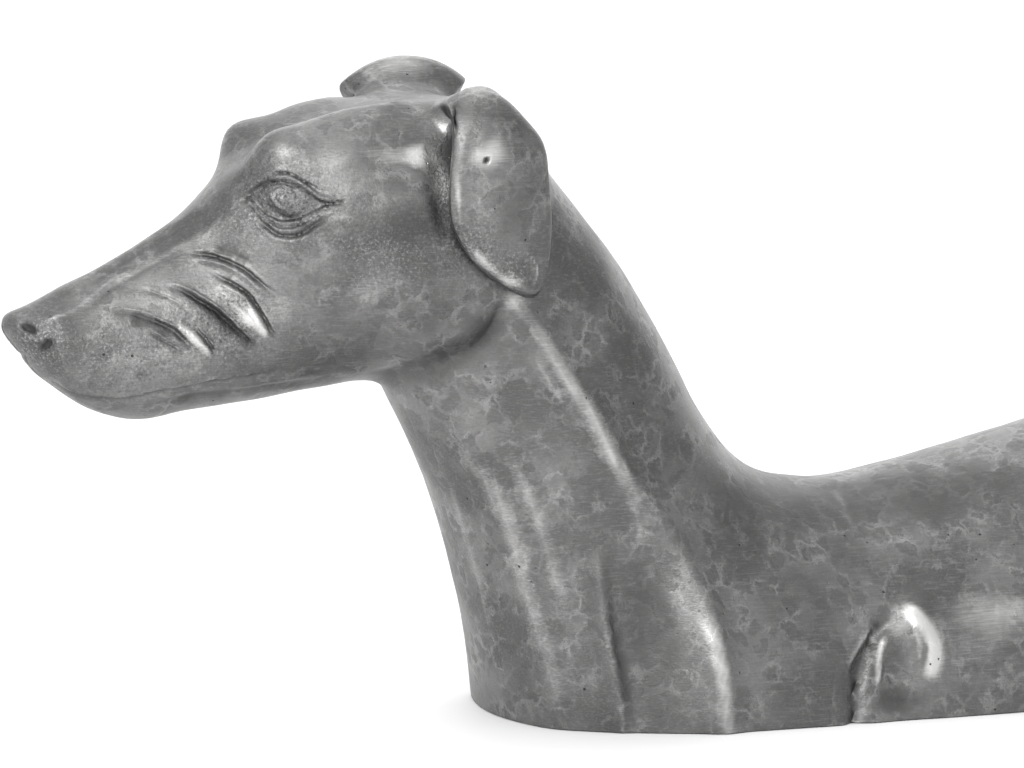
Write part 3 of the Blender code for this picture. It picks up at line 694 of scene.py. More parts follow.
    def shaped_half(self) -> Array:
        """The half with its swells and deep lines, each added along the surface's normal."""
        points = self.half_sections()
        for forms in (SWELLS, DEEP_LINES):
            normal = np.cross(np.gradient(points, axis=1), np.gradient(points, axis=0))
            normal[:, [0, -1], 1] = 0
            normal /= np.maximum(np.linalg.norm(normal, axis=-1, keepdims=True), 1e-9)
            flat = points.reshape(-1, 3)
            points = points + normal * total(forms, flat).reshape(points.shape[:2])[..., None]
        points[:, [0, -1], 1] = 0
        return points

    def mesh(self) -> bpy.types.Mesh:
        """The closed loft: the half and its mirror image, joined along the middle."""
        half = self.shaped_half()
        other = half[:, -2:0:-1] * (1, -1, 1)
        return loop_mesh("head and neck", np.concatenate([half, other], axis=1))


@dataclass
class Ear:
    """A folded ear: lens-shaped sections along a line from inside the skull to the tip.

    Attributes:
        side: The side of the dog.
        front: x of its front edge at each point of the line.
        back: x of its back edge at each point of the line.
        rise: How far its fold is raised.
        drops: How far the fold's front and back lie below its middle.
    """

    side: Side
    front: tuple[float, ...]
    back: tuple[float, ...]
    rise: float
    drops: tuple[float, float]
    line: Points = (
        (22, 246), (32, 262.5), (43, 269.5), (52.5, 263), (57, 250), (58, 232), (56.5, 214),
        (55, 200), (54, 192), (53.5, 186), (53, 182.5),
    )
    outer_depth: float = 3.5
    inner_depth: float = 14.0
    crown: float = 2.5
    fold_at: float = 2.2
    fold_reach: float = 2.4
    tip_reach: float = 1.2
    rows: int = 84
    around: int = 72

    def relief(self, along: Array, across: Array) -> Array:
        """The carving of the flap's outer face: rims at its edges, a hollow and a tip lip.

        Each form is a bell across the flap times an eased range along it.

        Args:
            along: Place along the ear's line, a column.
            across: From -1 at the front edge to 1 at the back edge, a row.

        Returns:
            The lift of each point.
        """
        hangs = ease((along - 3.4) / 1.2)
        front_rim = 0.5 * bell((across + 0.88) / 0.12) * hangs
        front_hollow = -0.5 * bell((across + 0.66) / 0.14) * hangs * ease((8.4 - along) / 1.2)
        ridge = 0.3 * bell((across + 0.3) / 0.09) * ease((along - 4.4) / 0.6) * ease((7.0 - along) / 0.8)
        bowl = -1.6 * bell((across - 0.3) / 0.42) * bell((along - 7.6) / 1.0)
        tip_lip = 0.8 * bell((along - 9.2) / 0.28) * bell((across - 0.35) / 0.6)
        back_rim = 0.4 * bell((across - 0.9) / 0.1) * hangs
        return front_rim + front_hollow + ridge + bowl + tip_lip + back_rim

    def mesh(self) -> bpy.types.Mesh:
        """The ear as a closed loft.

        A section's points turn once round its line: the cosine of the turn goes from the back to
        the front edge, and its sine stands out from the line, little outwards and far inwards.
        """
        places = np.arange(len(self.line))
        along = np.linspace(0, len(self.line) - 1, self.rows)
        y, z = smooth_line(places, np.array(self.line), along).T
        front = smooth_line(places, np.array(self.front), along)[:, None]
        back = smooth_line(places, np.array(self.back), along)[:, None]
        run = np.stack([np.gradient(y), np.gradient(z)])
        out_y, out_z = np.stack([-run[1], run[0]]) / np.hypot(*run)
        turn = np.linspace(0, 2 * math.pi, self.around, endpoint=False)
        across, outside = np.cos(turn)[None], np.sin(turn)[None]
        along = along[:, None]
        thin = np.sqrt(np.clip((len(self.line) - 1 - along) / self.tip_reach, 0, 1))
        hangs = np.clip((along - self.fold_at) / 2, 0, 1)
        depth = np.where(outside >= 0, self.outer_depth, self.inner_depth)
        outer_face = np.sqrt(np.clip(outside, 0, 1))
        lift = thin * (
            depth * outside + self.crown * (1 - across**2) * hangs
            + outer_face * self.relief(along, across)
        )
        fold = np.clip(1 - np.abs(along - self.fold_at) / self.fold_reach, 0, 1)
        drop = np.where(across < 0, *self.drops) * across**2
        points = np.stack(
            [
                (front + back) / 2 + (back - front) / 2 * across,
                self.side.value * (y[:, None] + out_y[:, None] * lift),
                z[:, None] + out_z[:, None] * lift + fold * (self.rise - drop),
            ],
            axis=-1,
        )
        return loop_mesh(f"{self.side.name.lower()} ear", points, flip=self.side is Side.RIGHT)


def left_ear() -> Ear:
    """The dog's left ear, whose fold runs low at the back."""
    return Ear(
        Side.LEFT,
        (-182, -182, -182, -182.5, -183.5, -185.3, -183.6, -175.5, -166.5, -157.5, -150),
        (-160, -153.2, -149.8, -147.3, -144.4, -142, -140.5, -140.5, -142, -144, -147),
        -5.0, (3.0, 12.5),
    )


def right_ear() -> Ear:
    """The dog's right ear, which is carried a little higher and further forward."""
    return Ear(
        Side.RIGHT,
        (-186, -191, -194, -192, -184.5, -181.5, -181, -175, -164, -154, -149),
        (-160, -147, -138.5, -138, -139, -138, -140, -141.5, -142.5, -145, -147),
        2.4, (8.0, 9.0),
    )


def loop_mesh(name: str, points: Array, flip: bool = False) -> bpy.types.Mesh:
    """A closed mesh from rows that are loops, each end drawn in to a middle point.

    Args:
        name: The mesh's name.
        points: Grid [row, point, xyz] in drawn millimetres.
        flip: Whether its faces are turned over.

    Returns:
        The mesh, in metres.
    """
    rows, around = points.shape[:2]
    ends = np.stack([points[0].mean(axis=0), points[-1].mean(axis=0)])
    places = np.concatenate([points.reshape(-1, 3), ends]) * DRAWN
    index = np.arange(rows * around).reshape(rows, around)
    index = np.concatenate([index, index[:, :1]], axis=1)
    quads = np.stack([index[:-1, :-1], index[:-1, 1:], index[1:, 1:], index[1:, :-1]], axis=-1)
    first, last = index[0], index[-1]
    middle = np.full(around, rows * around)
    caps = np.concatenate([
        np.stack([first[1:], first[:-1], middle], axis=-1),
        np.stack([last[:-1], last[1:], middle + 1], axis=-1),
    ])
    faces = quads.reshape(-1, 4).tolist() + caps.tolist()
    if flip:
        faces = [face[::-1] for face in faces]
    mesh = bpy.data.meshes.new(name)
    mesh.from_pydata(places.tolist(), [], faces)
    mesh.update()
    return mesh


@dataclass
class Eye:
    """An almond eye in a raised lid, with a ringed iris, cut on both sides.

    Attributes:
        upper_lid: (x, z) along the edge of the upper lid, from the inner to the outer corner.
        lower_lid: The same for the lower lid.
        iris: Middle of the iris (x, z).
        ball: Middle of the eyeball (x, z).
        upper_roll: Place outside the lid's edge, width and height of the roll on it.
        lower_rolls: The same for the rolls on the lower lid.
        lid_edge: Over how far the ball dips under a lid.
        corners: Over how far the opening closes at the inner and the outer corner.
        waver: Height and length of the unevenness of the cut.
        least_y: The eye is cut only where |y| is over this.
    """

    upper_lid: Points = (
        (-258.5, 226), (-256, 229), (-253.2, 231.5), (-250, 232), (-246.5, 231.6), (-242.7, 230.4),
        (-239.5, 227.7), (-236, 224.9), (-231.5, 223.4),
    )
    lower_lid: Points = (
        (-258.5, 226), (-256.5, 222), (-254.5, 218.9), (-251.5, 216.5), (-247.5, 215.7),
        (-242.6, 217), (-238.6, 219.6), (-235, 221.7), (-231.5, 223.4),
    )
    iris: tuple[float, float] = (-248.7, 225.6)
    iris_squeeze: float = 0.78
    ball: tuple[float, float] = (-247.5, 224.2)
    ball_radii: tuple[float, float] = (12.0, 9.0)
    sunk: float = 1.6
    bulge: float = 2.6
    upper_roll: tuple[float, float, float] = (1.7, 1.25, 1.3)
    lower_rolls: tuple[tuple[float, float, float], ...] = ((1.0, 0.75, 0.8), (3.5, 1.1, 0.8))
    iris_radius: float = 4.6
    spiral_pitch: float = 2.3
    ring_depth: float = 0.7
    disc_height: float = 0.7
    lid_edge: float = 0.7
    corners: tuple[float, float] = (4.0, 6.0)
    waver: tuple[float, float] = (0.2, 3.5)
    least_y: float = 12.0

    def lift(self, points: Array) -> Array:
        """The ball between the lids, the lids' rolls round it and the iris cut in the ball.

        The ball is sunk at the lids and rises to its middle as a paraboloid. A roll is a bell of
        the distance from its place outside the lid's edge. The iris is a groove where the radius
        meets a spiral.

        Args:
            points: Points [n, 3].

        Returns:
            The lift of each point.
        """
        x, z = points[:, 0], points[:, 2]
        height, length = self.waver
        z = z + height * soft_noise(points, length, 11)
        upper = np.interp(x, *self._fine(self.upper_lid))
        lower = np.interp(x, *self._fine(self.lower_lid))
        inner, outer = self.upper_lid[0][0], self.upper_lid[-1][0]
        facing = np.abs(points[:, 1]) > self.least_y
        within = ease((x - inner) / self.corners[0]) * ease((outer - x) / self.corners[1]) * facing
        opening = ease((upper - z) / self.lid_edge) * ease((z - lower) / self.lid_edge) * within
        iris_x, iris_z = (x - self.iris[0]) / self.iris_squeeze, z - self.iris[1]
        radius = np.hypot(iris_x, iris_z)
        reach = np.hypot((x - self.ball[0]) / self.ball_radii[0], (z - self.ball[1]) / self.ball_radii[1])
        ball = opening * (self.bulge * np.clip(1 - reach**2, 0, 1) - self.sunk)
        turn = np.arctan2(iris_z, iris_x) / (2 * math.pi) + 0.5
        coil = (radius - self.spiral_pitch * turn) / self.spiral_pitch
        off_coil = (coil - np.round(coil)) * self.spiral_pitch
        in_iris = ease((self.iris_radius + 0.7 - radius) / 0.5) * ease((radius - 0.6) / 0.4)
        rings = -self.ring_depth * bell(off_coil / 0.5) * in_iris * opening
        disc = self.disc_height * ease(self.iris_radius + 1.0 - radius) * opening
        tail = ease((x - inner + 2) / 2) * ease((outer + 3 - x) / 4) * facing * (1 - opening)
        place, width, height = self.upper_roll
        lids = height * bell((z - upper - place) / width)
        for place, width, height in self.lower_rolls:
            lids += height * bell((lower - z - place) / width)
        return ball + rings + disc + lids * tail

    def _fine(self, lid: Points) -> tuple[Array, Array]:
        """A lid's line as finely spaced x and z."""
        knots, values = np.array(lid, float).T
        fine = np.linspace(knots[0], knots[-1], 80)
        return fine, smooth_line(knots, values, fine)


@dataclass
class Nose:
    """The nose pad, its nostrils and the groove down its middle."""

    groove_width: float = 0.9
    groove_depth: float = 1.0
    groove_front: float = -338.0
    groove_top: float = 176.0
    notch_depth: float = 0.9
    notch_level: float = 161.5
    notch_width: float = 1.1
    pad_reach: tuple[float, float, float] = (5.0, 9.0, 4.0)

    def lift(self, points: Array) -> Array:
        """The groove down the middle and the notch below the pad, as bells eased in from behind."""
        x, y, z = self.pad_reach
        front = ease((self.groove_front - points[:, 0]) / x)
        below = ease((self.groove_top - points[:, 2]) / z)
        groove = -self.groove_depth * bell(points[:, 1] / self.groove_width) * front * below
        notch = -self.notch_depth * bell((points[:, 2] - self.notch_level) / self.notch_width) * front
        return groove + notch * bell(points[:, 1] / y)


@dataclass
class ToolMarks:
    """The unevenness that hand work leaves: long soft waves and shallow scoops.

    Attributes:
        wave_height: Height of the waves.
        wave_lengths: Their lengths, from the longest to the shortest.
        scoop_size: Width of a scoop.
        scoop_depth: Its depth.
        wobbles: Height and length of each size of the waver of the cuts.
    """

    wave_height: float = 0.2
    wave_lengths: tuple[float, float] = (60.0, 16.0)
    wave_count: int = 14
    scoop_size: float = 16.0
    scoop_depth: float = 0.14
    grain_size: float = 1.6
    grain_height: float = 0.13
    wobbles: tuple[tuple[float, float], ...] = ((0.45, 6.0), (0.22, 2.2))
    seed: int = 7

    def lift(self, points: Array) -> Array:
        """A sum of sine waves in scattered directions, and paraboloid scoops round scattered centres."""
        random = np.random.default_rng(self.seed)
        heading = random.normal(size=(self.wave_count, 3))
        heading /= np.linalg.norm(heading, axis=1, keepdims=True)
        length = np.geomspace(*self.wave_lengths, self.wave_count)
        phase = random.uniform(0, 2 * math.pi, self.wave_count)
        size = np.sqrt(length / self.wave_lengths[0]) * self.wave_height / math.sqrt(self.wave_count / 2)
        waves = np.sin(points @ (heading / length[:, None] * 2 * math.pi).T + phase) @ size
        first, _ = nearest_cells(points, self.scoop_size, self.seed)
        scoops = self.scoop_depth * (ease(first) - 0.5)
        return waves + scoops

    def stipple(self, points: Array) -> Array:
        """The punched grain of rough skin: soft noise of two sizes."""
        coarse = soft_noise(points, self.grain_size, self.seed)
        fine = soft_noise(points, self.grain_size * 0.6, self.seed + 1)
        return self.grain_height * (coarse + 0.8 * fine)

    def wobble(self, points: Array) -> Array:
        """Points moved a little sideways by soft noise, which makes a straight cut waver."""
        shift = [
            sum(
                height * soft_noise(points, length, self.seed + 3 * part + axis)
                for part, (height, length) in enumerate(self.wobbles, 1)
            )
            for axis in range(3)
        ]
        return points + np.stack(shift, axis=-1)


@dataclass
class Bust:
    """The whole surface: loft, ears and carving, cut flat below and behind.

    Attributes:
        fine_zones: Boxes (low x, z, high x, z, least |y|) where the mesh is halved once.
        finest_zones: Boxes where it is halved again.
        fillet_low: The joint of an ear is rounded above this level,
        fillet_inside: and where |y| is under this.
        sharp_angle: Edges over this angle, in degrees, are drawn sharp.
        sideways: How far a normal turns to the side where the lines begin, and over what they fade in.
    """

    torso: Torso = field(default_factory=Torso)
    ears: tuple[Ear, Ear] = field(default_factory=lambda: (left_ear(), right_ear()))
    eye: Eye = field(default_factory=Eye)
    nose: Nose = field(default_factory=Nose)
    marks: ToolMarks = field(default_factory=ToolMarks)
    fine_zones: tuple[tuple[float, ...], ...] = (
        (-318, 158, -244, 206, 8), (-266, 206, -226, 240, 8), (-358, 156, -337, 184, 0),
        (-340, 140, -238, 156, 6), (-226, 147, -154, 178, 20), (-194, 198, -178, 262, 30),
        (-22, 0, 34, 50, 40), (-122, 0, -104, 78, 30),
    )
    finest_zones: tuple[tuple[float, ...], ...] = (
        (-262, 207, -227, 238, 8), (-300, 160, -250, 203, 8), (-354, 160, -339, 178, 3),
        (-175, 237, -168, 244, 50),
    )
    fillet_low: float = 250.0
    fillet_inside: float = 52.0
    fillet_reach: int = 7
    fillet_passes: int = 36
    joint_angle: float = 24.0
    sharp_angle: float = 62.0
    sideways: tuple[float, float] = (0.12, 0.2)
    # painted highlight on raised lips and rolls, and painted shade in grooves, as shares of their lift
    lip_shine: float = 0.25
    groove_shade: float = 0.6
    hole: tuple[float, float, float] = (-171.6, -62.4, 240.5)
    hole_radius: float = 1.1
    hole_depth: float = 1.4
    # painted shade in the ear's hole, as a share of its depth
    hole_shade: float = 3.0

    def build(self) -> bpy.types.Object:
        """The finished piece, with its place in its mesh."""
        piece = put_in_scene("dog_bust_worked", self.torso.mesh())
        self.join_ears(piece)
        work = bmesh.new()
        work.from_mesh(piece.data)
        self.soften_ear_roots(work)
        self.refine(work)
        work.to_mesh(piece.data)
        work.free()
        self.carve(piece.data)
        self.cut_flat(piece.data)
        piece.data.shade_smooth()
        piece.data.set_sharp_from_angle(angle=math.radians(self.sharp_angle))
        return piece

    def join_ears(self, piece: bpy.types.Object) -> None:
        """Joins both ears to the loft, so that one closed surface is left."""
        helpers = []
        for ear in self.ears:
            helper = put_in_scene(f"{ear.side.name.lower()} ear", ear.mesh())
            helpers.append(helper)
            joint = piece.modifiers.new(helper.name, "BOOLEAN")
            joint.object = helper
            joint.operation = "UNION"
            joint.solver = "EXACT"
        graph = bpy.context.evaluated_depsgraph_get()
        joined = bpy.data.meshes.new_from_object(piece.evaluated_get(graph), depsgraph=graph)
        piece.modifiers.clear()
        piece.data = joined
        for helper in helpers:
            bpy.data.objects.remove(helper)

    def soften_ear_roots(self, work: bmesh.types.BMesh) -> None:
        """Rounds the joint between skull and ear above the fillet's level, by averaging.

        Args:
            work: The joined surface.
        """
        limit = math.radians(self.joint_angle)
        ring = {
            vertex for edge in work.edges
            if len(edge.link_faces) == 2 and edge.calc_face_angle() > limit
            for vertex in edge.verts
            if vertex.co.z > self.fillet_low * DRAWN and abs(vertex.co.y) < self.fillet_inside * DRAWN
        }
        for _ in range(self.fillet_reach):
            ring |= {edge.other_vert(vertex) for vertex in ring for edge in vertex.link_edges}
        average(work, ring, self.fillet_passes)

    def refine(self, work: bmesh.types.BMesh) -> None:
        """Halves the mesh in the zones of fine carving, and rounds the halved faces.

        Args:
            work: The joined surface.
        """
        for zones in (self.fine_zones, self.finest_zones):
            edges = set()
            for low_x, low_z, high_x, high_z, least_y in zones:
                for face in work.faces:
                    place = face.calc_center_median() / DRAWN
                    if low_x < place.x < high_x and low_z < place.z < high_z and abs(place.y) > least_y:
                        edges.update(face.edges)
            made = bmesh.ops.subdivide_edges(work, edges=list(edges), cuts=1, use_grid_fill=True)
            fresh = {item for item in made["geom"] if isinstance(item, bmesh.types.BMVert)}
            average(work, fresh, 2)

    def carve(self, mesh: bpy.types.Mesh) -> None:
        """Moves every vertex along its normal by the sum of all the carving.

        Args:
            mesh: The joined and refined surface.
        """
        points = vertex_array(mesh, "co") / DRAWN
        normals = vertex_array(mesh, "normal")
        rough = np.clip(total(STIPPLED, points), 0, 1)
        # painted highlights and painted shade, spotted where light and shade fall
        shine = total(PAINTED_SPOTS, points)
        lift = self.nose.lift(points) + self.marks.lift(points) + self.marks.stipple(points) * rough
        least, span = self.sideways
        sideways = ease((np.abs(normals[:, 1]) - least) / span)
        wavering = self.marks.wobble(points)
        carved = np.zeros(len(points))
        for line in CARVED_LINES.values():
            carved += line.lift(wavering) * sideways
            shine += line.painted_sheen(points) * sideways
        # raised lips and rolls painted lighter as their highlight, grooves painted darker as their shade
        edges = carved * np.where(carved > 0, self.lip_shine, self.groove_shade)
        hole = self.ear_hole(points)
        # the ear's hole is painted darker as its shade
        self.store(mesh, PAINTED_LIGHT, shine + edges + hole * self.hole_shade)
        carved += self.eye.lift(wavering)
        self.store(mesh, ROUGH, rough)
        lift += carved + hole
        mesh.vertices.foreach_set("co", ((points + normals * lift[:, None]) * DRAWN).ravel())
        mesh.update()

    def ear_hole(self, points: Array) -> Array:
        """A small round hole in the left ear: a steep bell of the distance from its middle."""
        away = np.linalg.norm((points - np.array(self.hole)) * (1, 0.3, 1), axis=1) / self.hole_radius
        return -self.hole_depth * bell(away**2)

    def store(self, mesh: bpy.types.Mesh, name: str, values: Array) -> None:
        """Keeps a value for each vertex as an attribute, for the material."""
        kept = mesh.attributes.new(name, "FLOAT", "POINT")
        kept.data.foreach_set("value", values.astype(np.float32))

    def cut_flat(self, mesh: bpy.types.Mesh) -> None:
        """Cuts the surface off below Z = 0 and behind the shoulders, and closes both cuts.

        Args:
            mesh: The carved surface.
        """
        work = bmesh.new()
        work.from_mesh(mesh)
        below = Vector(), Vector((0, 0, -1))
        behind = Vector((BACK_CUT * DRAWN, 0, 0)), Vector((1, 0, 0))
        for place, outwards in (below, behind):
            geometry = [*work.verts, *work.edges, *work.faces]
            cut = bmesh.ops.bisect_plane(
                work, geom=geometry, dist=1e-7, plane_co=place, plane_no=outwards, clear_outer=True
            )
            rim = [item for item in cut["geom_cut"] if isinstance(item, bmesh.types.BMEdge)]
            bmesh.ops.edgeloop_fill(work, edges=rim)
        bmesh.ops.recalc_face_normals(work, faces=work.faces)
        work.to_mesh(mesh)
        work.free()


def average(work: bmesh.types.BMesh, vertices: set[bmesh.types.BMVert], passes: int) -> None:
    """Draws each vertex half way to the middle of its neighbours, as many times as passes."""
    axes = {"use_axis_x": True, "use_axis_y": True, "use_axis_z": True}
    for _ in range(passes):
        bmesh.ops.smooth_vert(work, verts=list(vertices), factor=0.5, **axes)


def put_in_scene(name: str, data: bpy.types.ID) -> bpy.types.Object:
    """A new object of this name with this data, in the scene."""
    made = bpy.data.objects.new(name, data)
    bpy.context.scene.collection.objects.link(made)
    return made


def vertex_array(mesh: bpy.types.Mesh, name: str) -> Array:
    """A property of a mesh's vertices, as an array [n, 3]."""
    values = np.zeros(len(mesh.vertices) * 3, np.float32)
    mesh.vertices.foreach_get(name, values)
    return values.reshape(-1, 3).astype(float)


class Socket:
    """A node's output, on which Python's operators add Math nodes."""

    def __init__(self, tree: "NodeTree", output: bpy.types.NodeSocket) -> None:
        """Keeps the tree and the output."""
        self.tree = tree
        self.output = output

    def maths(self, operation: str, *values: Any) -> "Socket":
        """A Math node's result.

        Args:
            operation: The node's operation.
            values: Its inputs, sockets or numbers.

        Returns:
            The result's socket.
        """
        return self.tree.node("ShaderNodeMath", {"operation": operation}, *values)

    def __add__(self, other: Any) -> "Socket":
        """This plus the other."""
        return self.maths("ADD", self, other)

    def __sub__(self, other: Any) -> "Socket":
        """This less the other."""
        return self.maths("SUBTRACT", self, other)

    def __rsub__(self, other: Any) -> "Socket":
        """The other less this."""
        return self.maths("SUBTRACT", other, self)

    def __mul__(self, other: Any) -> "Socket":
        """This times the other."""
        return self.maths("MULTIPLY", self, other)

    def over(self, limit: float, softness: float) -> "Socket":
        """0 below the limit, rising smoothly to 1 over the softness.

        Args:
            limit: Where it starts to rise.
            softness: How long it takes. Minus falls from 1 to 0.

        Returns:
            The eased socket.
        """
        settings = {"interpolation_type": "SMOOTHSTEP"}
        low, high = min(limit, limit + softness), max(limit, limit + softness)
        ends = (0.0, 1.0) if softness > 0 else (1.0, 0.0)
        return self.tree.node("ShaderNodeMapRange", settings, self, low, high, *ends)

    __radd__ = __add__
    __rmul__ = __mul__


class NodeTree:
    """A tree of nodes, built up one call at a time."""

    def __init__(self, tree: bpy.types.NodeTree) -> None:
        """Keeps the tree's nodes and links."""
        self.nodes = tree.nodes
        self.links = tree.links

    def node(self, kind: str, settings: dict[str, Any] | None = None, *values: Any,
             output: str | int = 0, **named: Any) -> Socket:
        """Adds a node.

        Args:
            kind: The node's type.
            settings: Its properties, set first.
            values: Values or links of its first inputs, in order.
            output: Which output to give back.
            named: Values or links of inputs by name, with _ for a space.

        Returns:
            The output's socket.
        """
        made = self.nodes.new(kind)
        for key, value in (settings or {}).items():
            setattr(made, key, value)
        pairs = [*enumerate(values), *((key.replace("_", " "), value) for key, value in named.items())]
        for key, value in pairs:
            self.feed(made.inputs[key], value)
        return Socket(self, made.outputs[output])

    def feed(self, target: bpy.types.NodeSocket, value: Any) -> None:
        """Links a socket to an input, or sets the input to a value."""
        if isinstance(value, Socket):
            self.links.new(value.output, target)
        elif value is not None:
            target.default_value = value

    def blend(self, share: Any, first: Any, second: Any) -> Socket:
        """A mix of two colours: the first at share 0, the second at 1."""
        unused = [None] * 5
        return self.node("ShaderNodeMix", {"data_type": "RGBA"}, share, *unused, first, second, output=2)


class Shader(NodeTree):
    """A material with one surface."""

    def __init__(self, name: str) -> None:
        """Starts the material with only its surface and output.

        Args:
            name: The material's name.
        """
        self.material = bpy.data.materials.new(name)
        self.material.use_nodes = True
        super().__init__(self.material.node_tree)
        self.surface = self.nodes["Principled BSDF"]

    def noise(self, place: Socket, scale: float, detail: float, roughness: float = 0.5,
              output: str | int = 0) -> Socket:
        """Soft noise from 0 to 1.

        Args:
            place: Coordinates.
            scale: Clouds for each unit of them.
            detail: How many finer sizes are added.
            roughness: How strong these are.
            output: Which output to give back.

        Returns:
            The output's socket.
        """
        return self.node("ShaderNodeTexNoise", None, place, Scale=scale, Detail=detail,
                         Roughness=roughness, output=output)


@dataclass(frozen=True)
class WorkedAluminium:
    """Cast aluminium, filed and brushed by hand: dark islands in a net of pale, soft veins.

    Attributes:
        dark: Grey of the islands.
        middle: Grey between them.
        pale: Grey of the veins.
        bright: Grey of the painted highlights where it is polished.
        deep: Grey of the painted shade in cuts and pits.
        island_scale: Large islands for each metre.
        small_island_scale: Small ones for each metre.
        pit_scale: Places of pits for each metre.
        wander: How far the islands' edges stray, in metres.
    """

    dark: float = 0.105
    middle: float = 0.168
    pale: float = 0.29
    bright: float = 0.74
    deep: float = 0.04
    island_scale: float = 115.0
    small_island_scale: float = 240.0
    pit_scale: float = 315.0
    wander: float = 0.017

    def grey(self, level: float) -> tuple[float, float, float, float]:
        """A grey of this level, warm by a hair."""
        return (level, level * 0.995, level * 0.985, 1.0)

    def material(self) -> bpy.types.Material:
        """The finish as a material.

        Returns:
            The material, on object coordinates in metres.
        """
        shader = Shader("worked aluminium")
        place = shader.node("ShaderNodeTexCoord", output="Object")
        wander = shader.noise(place, 75.0, 5.0, 0.68, "Color")
        shift = shader.node("ShaderNodeVectorMath", {"operation": "MULTIPLY_ADD"}, wander,
                            (self.wander,) * 3, place)
        clouds = shader.noise(shift, 26.0, 3.0, 0.55)
        patch = shader.noise(shift, 85.0, 4.0, 0.62)
        speckle = shader.noise(place, 900.0, 3.0, 0.7)
        painted_light, rough_skin = (
            shader.node("ShaderNodeAttribute", {"attribute_name": name}, output="Fac")
            for name in (PAINTED_LIGHT, ROUGH)
        )
        streaks = self.streaks(shader, place)
        big = self.islands(shader, shift, self.island_scale, 0.07)
        small = self.islands(shader, shift, self.small_island_scale, 0.09)

        calm = 1 - rough_skin * 0.8
        dark = (big[0] * 0.6 + small[0] * patch.over(0.46, 0.14) * 0.4) * calm
        cloud = clouds.over(0.38, 0.26)
        vein = (big[1] * patch.over(0.46, 0.14) + small[1] * patch.over(0.5, 0.12) * 0.4) * calm
        unrest = (1.3 + rough_skin) * (1 - painted_light.over(0.1, 0.5) * 0.65)
        grain = speckle - 0.5
        shine = painted_light + (patch - 0.5) * unrest + (streaks - 0.5) * 0.4 + grain * rough_skin
        # painted highlight where the painted light and its noise run high
        painted_sheen = shine.over(0.2, 1.3)
        # painted shade where they run low, darkest in cuts and the ear's hole
        ragged = painted_light + grain * rough_skin * 2.0 + (patch - 0.5) * 0.8
        painted_shade = ragged.over(-0.1, -0.9)
        pits = self.pits(shader, place)

        colour = shader.blend(cloud, self.grey(self.middle * 0.72), self.grey(self.middle * 1.2))
        # over dark islands, pale veins and grain go painted shade, painted highlight and the darkest grey
        # as painted shade in cuts and pits
        layers = (
            (dark * 0.75, self.dark),
            (vein * (0.45 + cloud * 0.5), self.pale),
            (streaks.over(0.5, 0.25) * 0.3, self.pale),
            (streaks.over(0.5, -0.25) * 0.25, self.dark),
            (speckle.over(0.52, 0.16) * (rough_skin * 0.75 + 0.12), self.pale * 1.2),
            (speckle.over(0.47, -0.14) * (rough_skin * 0.7 + 0.12), self.dark * 0.6),
            (painted_shade * 0.7, self.dark * 0.85),
            (painted_sheen * 0.9, self.bright),
            (ragged.over(-1.0, -0.8) * 0.8, self.deep),
            (pits * 0.85, self.deep),
        )
        for share, level in layers:
            colour = shader.blend(share, colour, self.grey(level))
        rough = 0.42 + dark * 0.04 - painted_sheen * 0.12 + painted_shade * 0.08 + pits * 0.2 + rough_skin * 0.06

        height = (streaks * 0.2 + patch * 0.3 + dark * 0.3 + speckle * (rough_skin * 0.9 + 0.12)
                  - pits * 1.3)
        bump = shader.node("ShaderNodeBump", None, Strength=0.7, Distance=0.0005, Height=height,
                           output="Normal")
        surface = shader.surface.inputs
        surface["Metallic"].default_value = 1.0
        shader.feed(surface["Base Color"], colour)
        shader.feed(surface["Roughness"], rough)
        shader.feed(surface["Normal"], bump)
        return shader.material

    def islands(self, shader: Shader, place: Socket, scale: float, vein: float) -> tuple[Socket, Socket]:
        """Cells with soft edges: some of them dark inside, with pale veins between them.

        Args:
            shader: The material being built.
            place: Coordinates, wandering a little.
            scale: Cells for each metre.
            vein: Width of a vein, as a share of a cell.

        Returns:
            1 inside a dark cell, and 1 on a vein.
        """
        edge = shader.node("ShaderNodeTexVoronoi", {"feature": "DISTANCE_TO_EDGE"}, place, Scale=scale)
        tone = shader.node("ShaderNodeTexVoronoi", {"feature": "F1"}, place, Scale=scale, output="Color")
        tone = shader.node("ShaderNodeSeparateColor", None, tone, output=0)
        inside = edge.over(vein * 0.7, vein * 2.2) * tone.over(0.2, 0.5)
        return inside, edge.over(vein * 1.9, -vein * 1.9) * (0.4 + 0.6 * tone)

    def streaks(self, shader: Shader, place: Socket) -> Socket:
        """The fine grain that a file and a brush leave, along two directions.

        Args:
            shader: The material being built.
            place: Object coordinates.

        Returns:
            The grain, from 0 to 1.
        """
        grains = []
        for tilt, fineness in ((0.6, 1900.0), (-0.8, 1700.0)):
            turned = shader.node("ShaderNodeMapping", None, place, Rotation=(0.0, tilt, 0.0),
                                 Scale=(110.0, 900.0, fineness))
            grains.append(shader.noise(turned, 1.0, 3.0))
        where = shader.noise(place, 26.0, 1.0).over(0.46, 0.08)
        return grains[0] * where + grains[1] * (1 - where)

    def pits(self, shader: Shader, place: Socket) -> Socket:
        """Small round casting pits, scattered and of differing sizes.

        Args:
            shader: The material being built.
            place: Object coordinates.

        Returns:
            1 in a pit and 0 elsewhere.
        """
        cell = shader.node("ShaderNodeTexVoronoi", {"feature": "F1"}, place, Scale=self.pit_scale)
        chance = shader.node("ShaderNodeTexVoronoi", {"feature": "F1"}, place, Scale=self.pit_scale,
                             output="Color")
        chance = shader.node("ShaderNodeSeparateColor", None, chance, output=1)
        crowd = shader.noise(place, 30.0, 1.0)
        return cell.over(0.22, -0.12) * (chance + crowd * 0.4).over(1.17, 0.04)


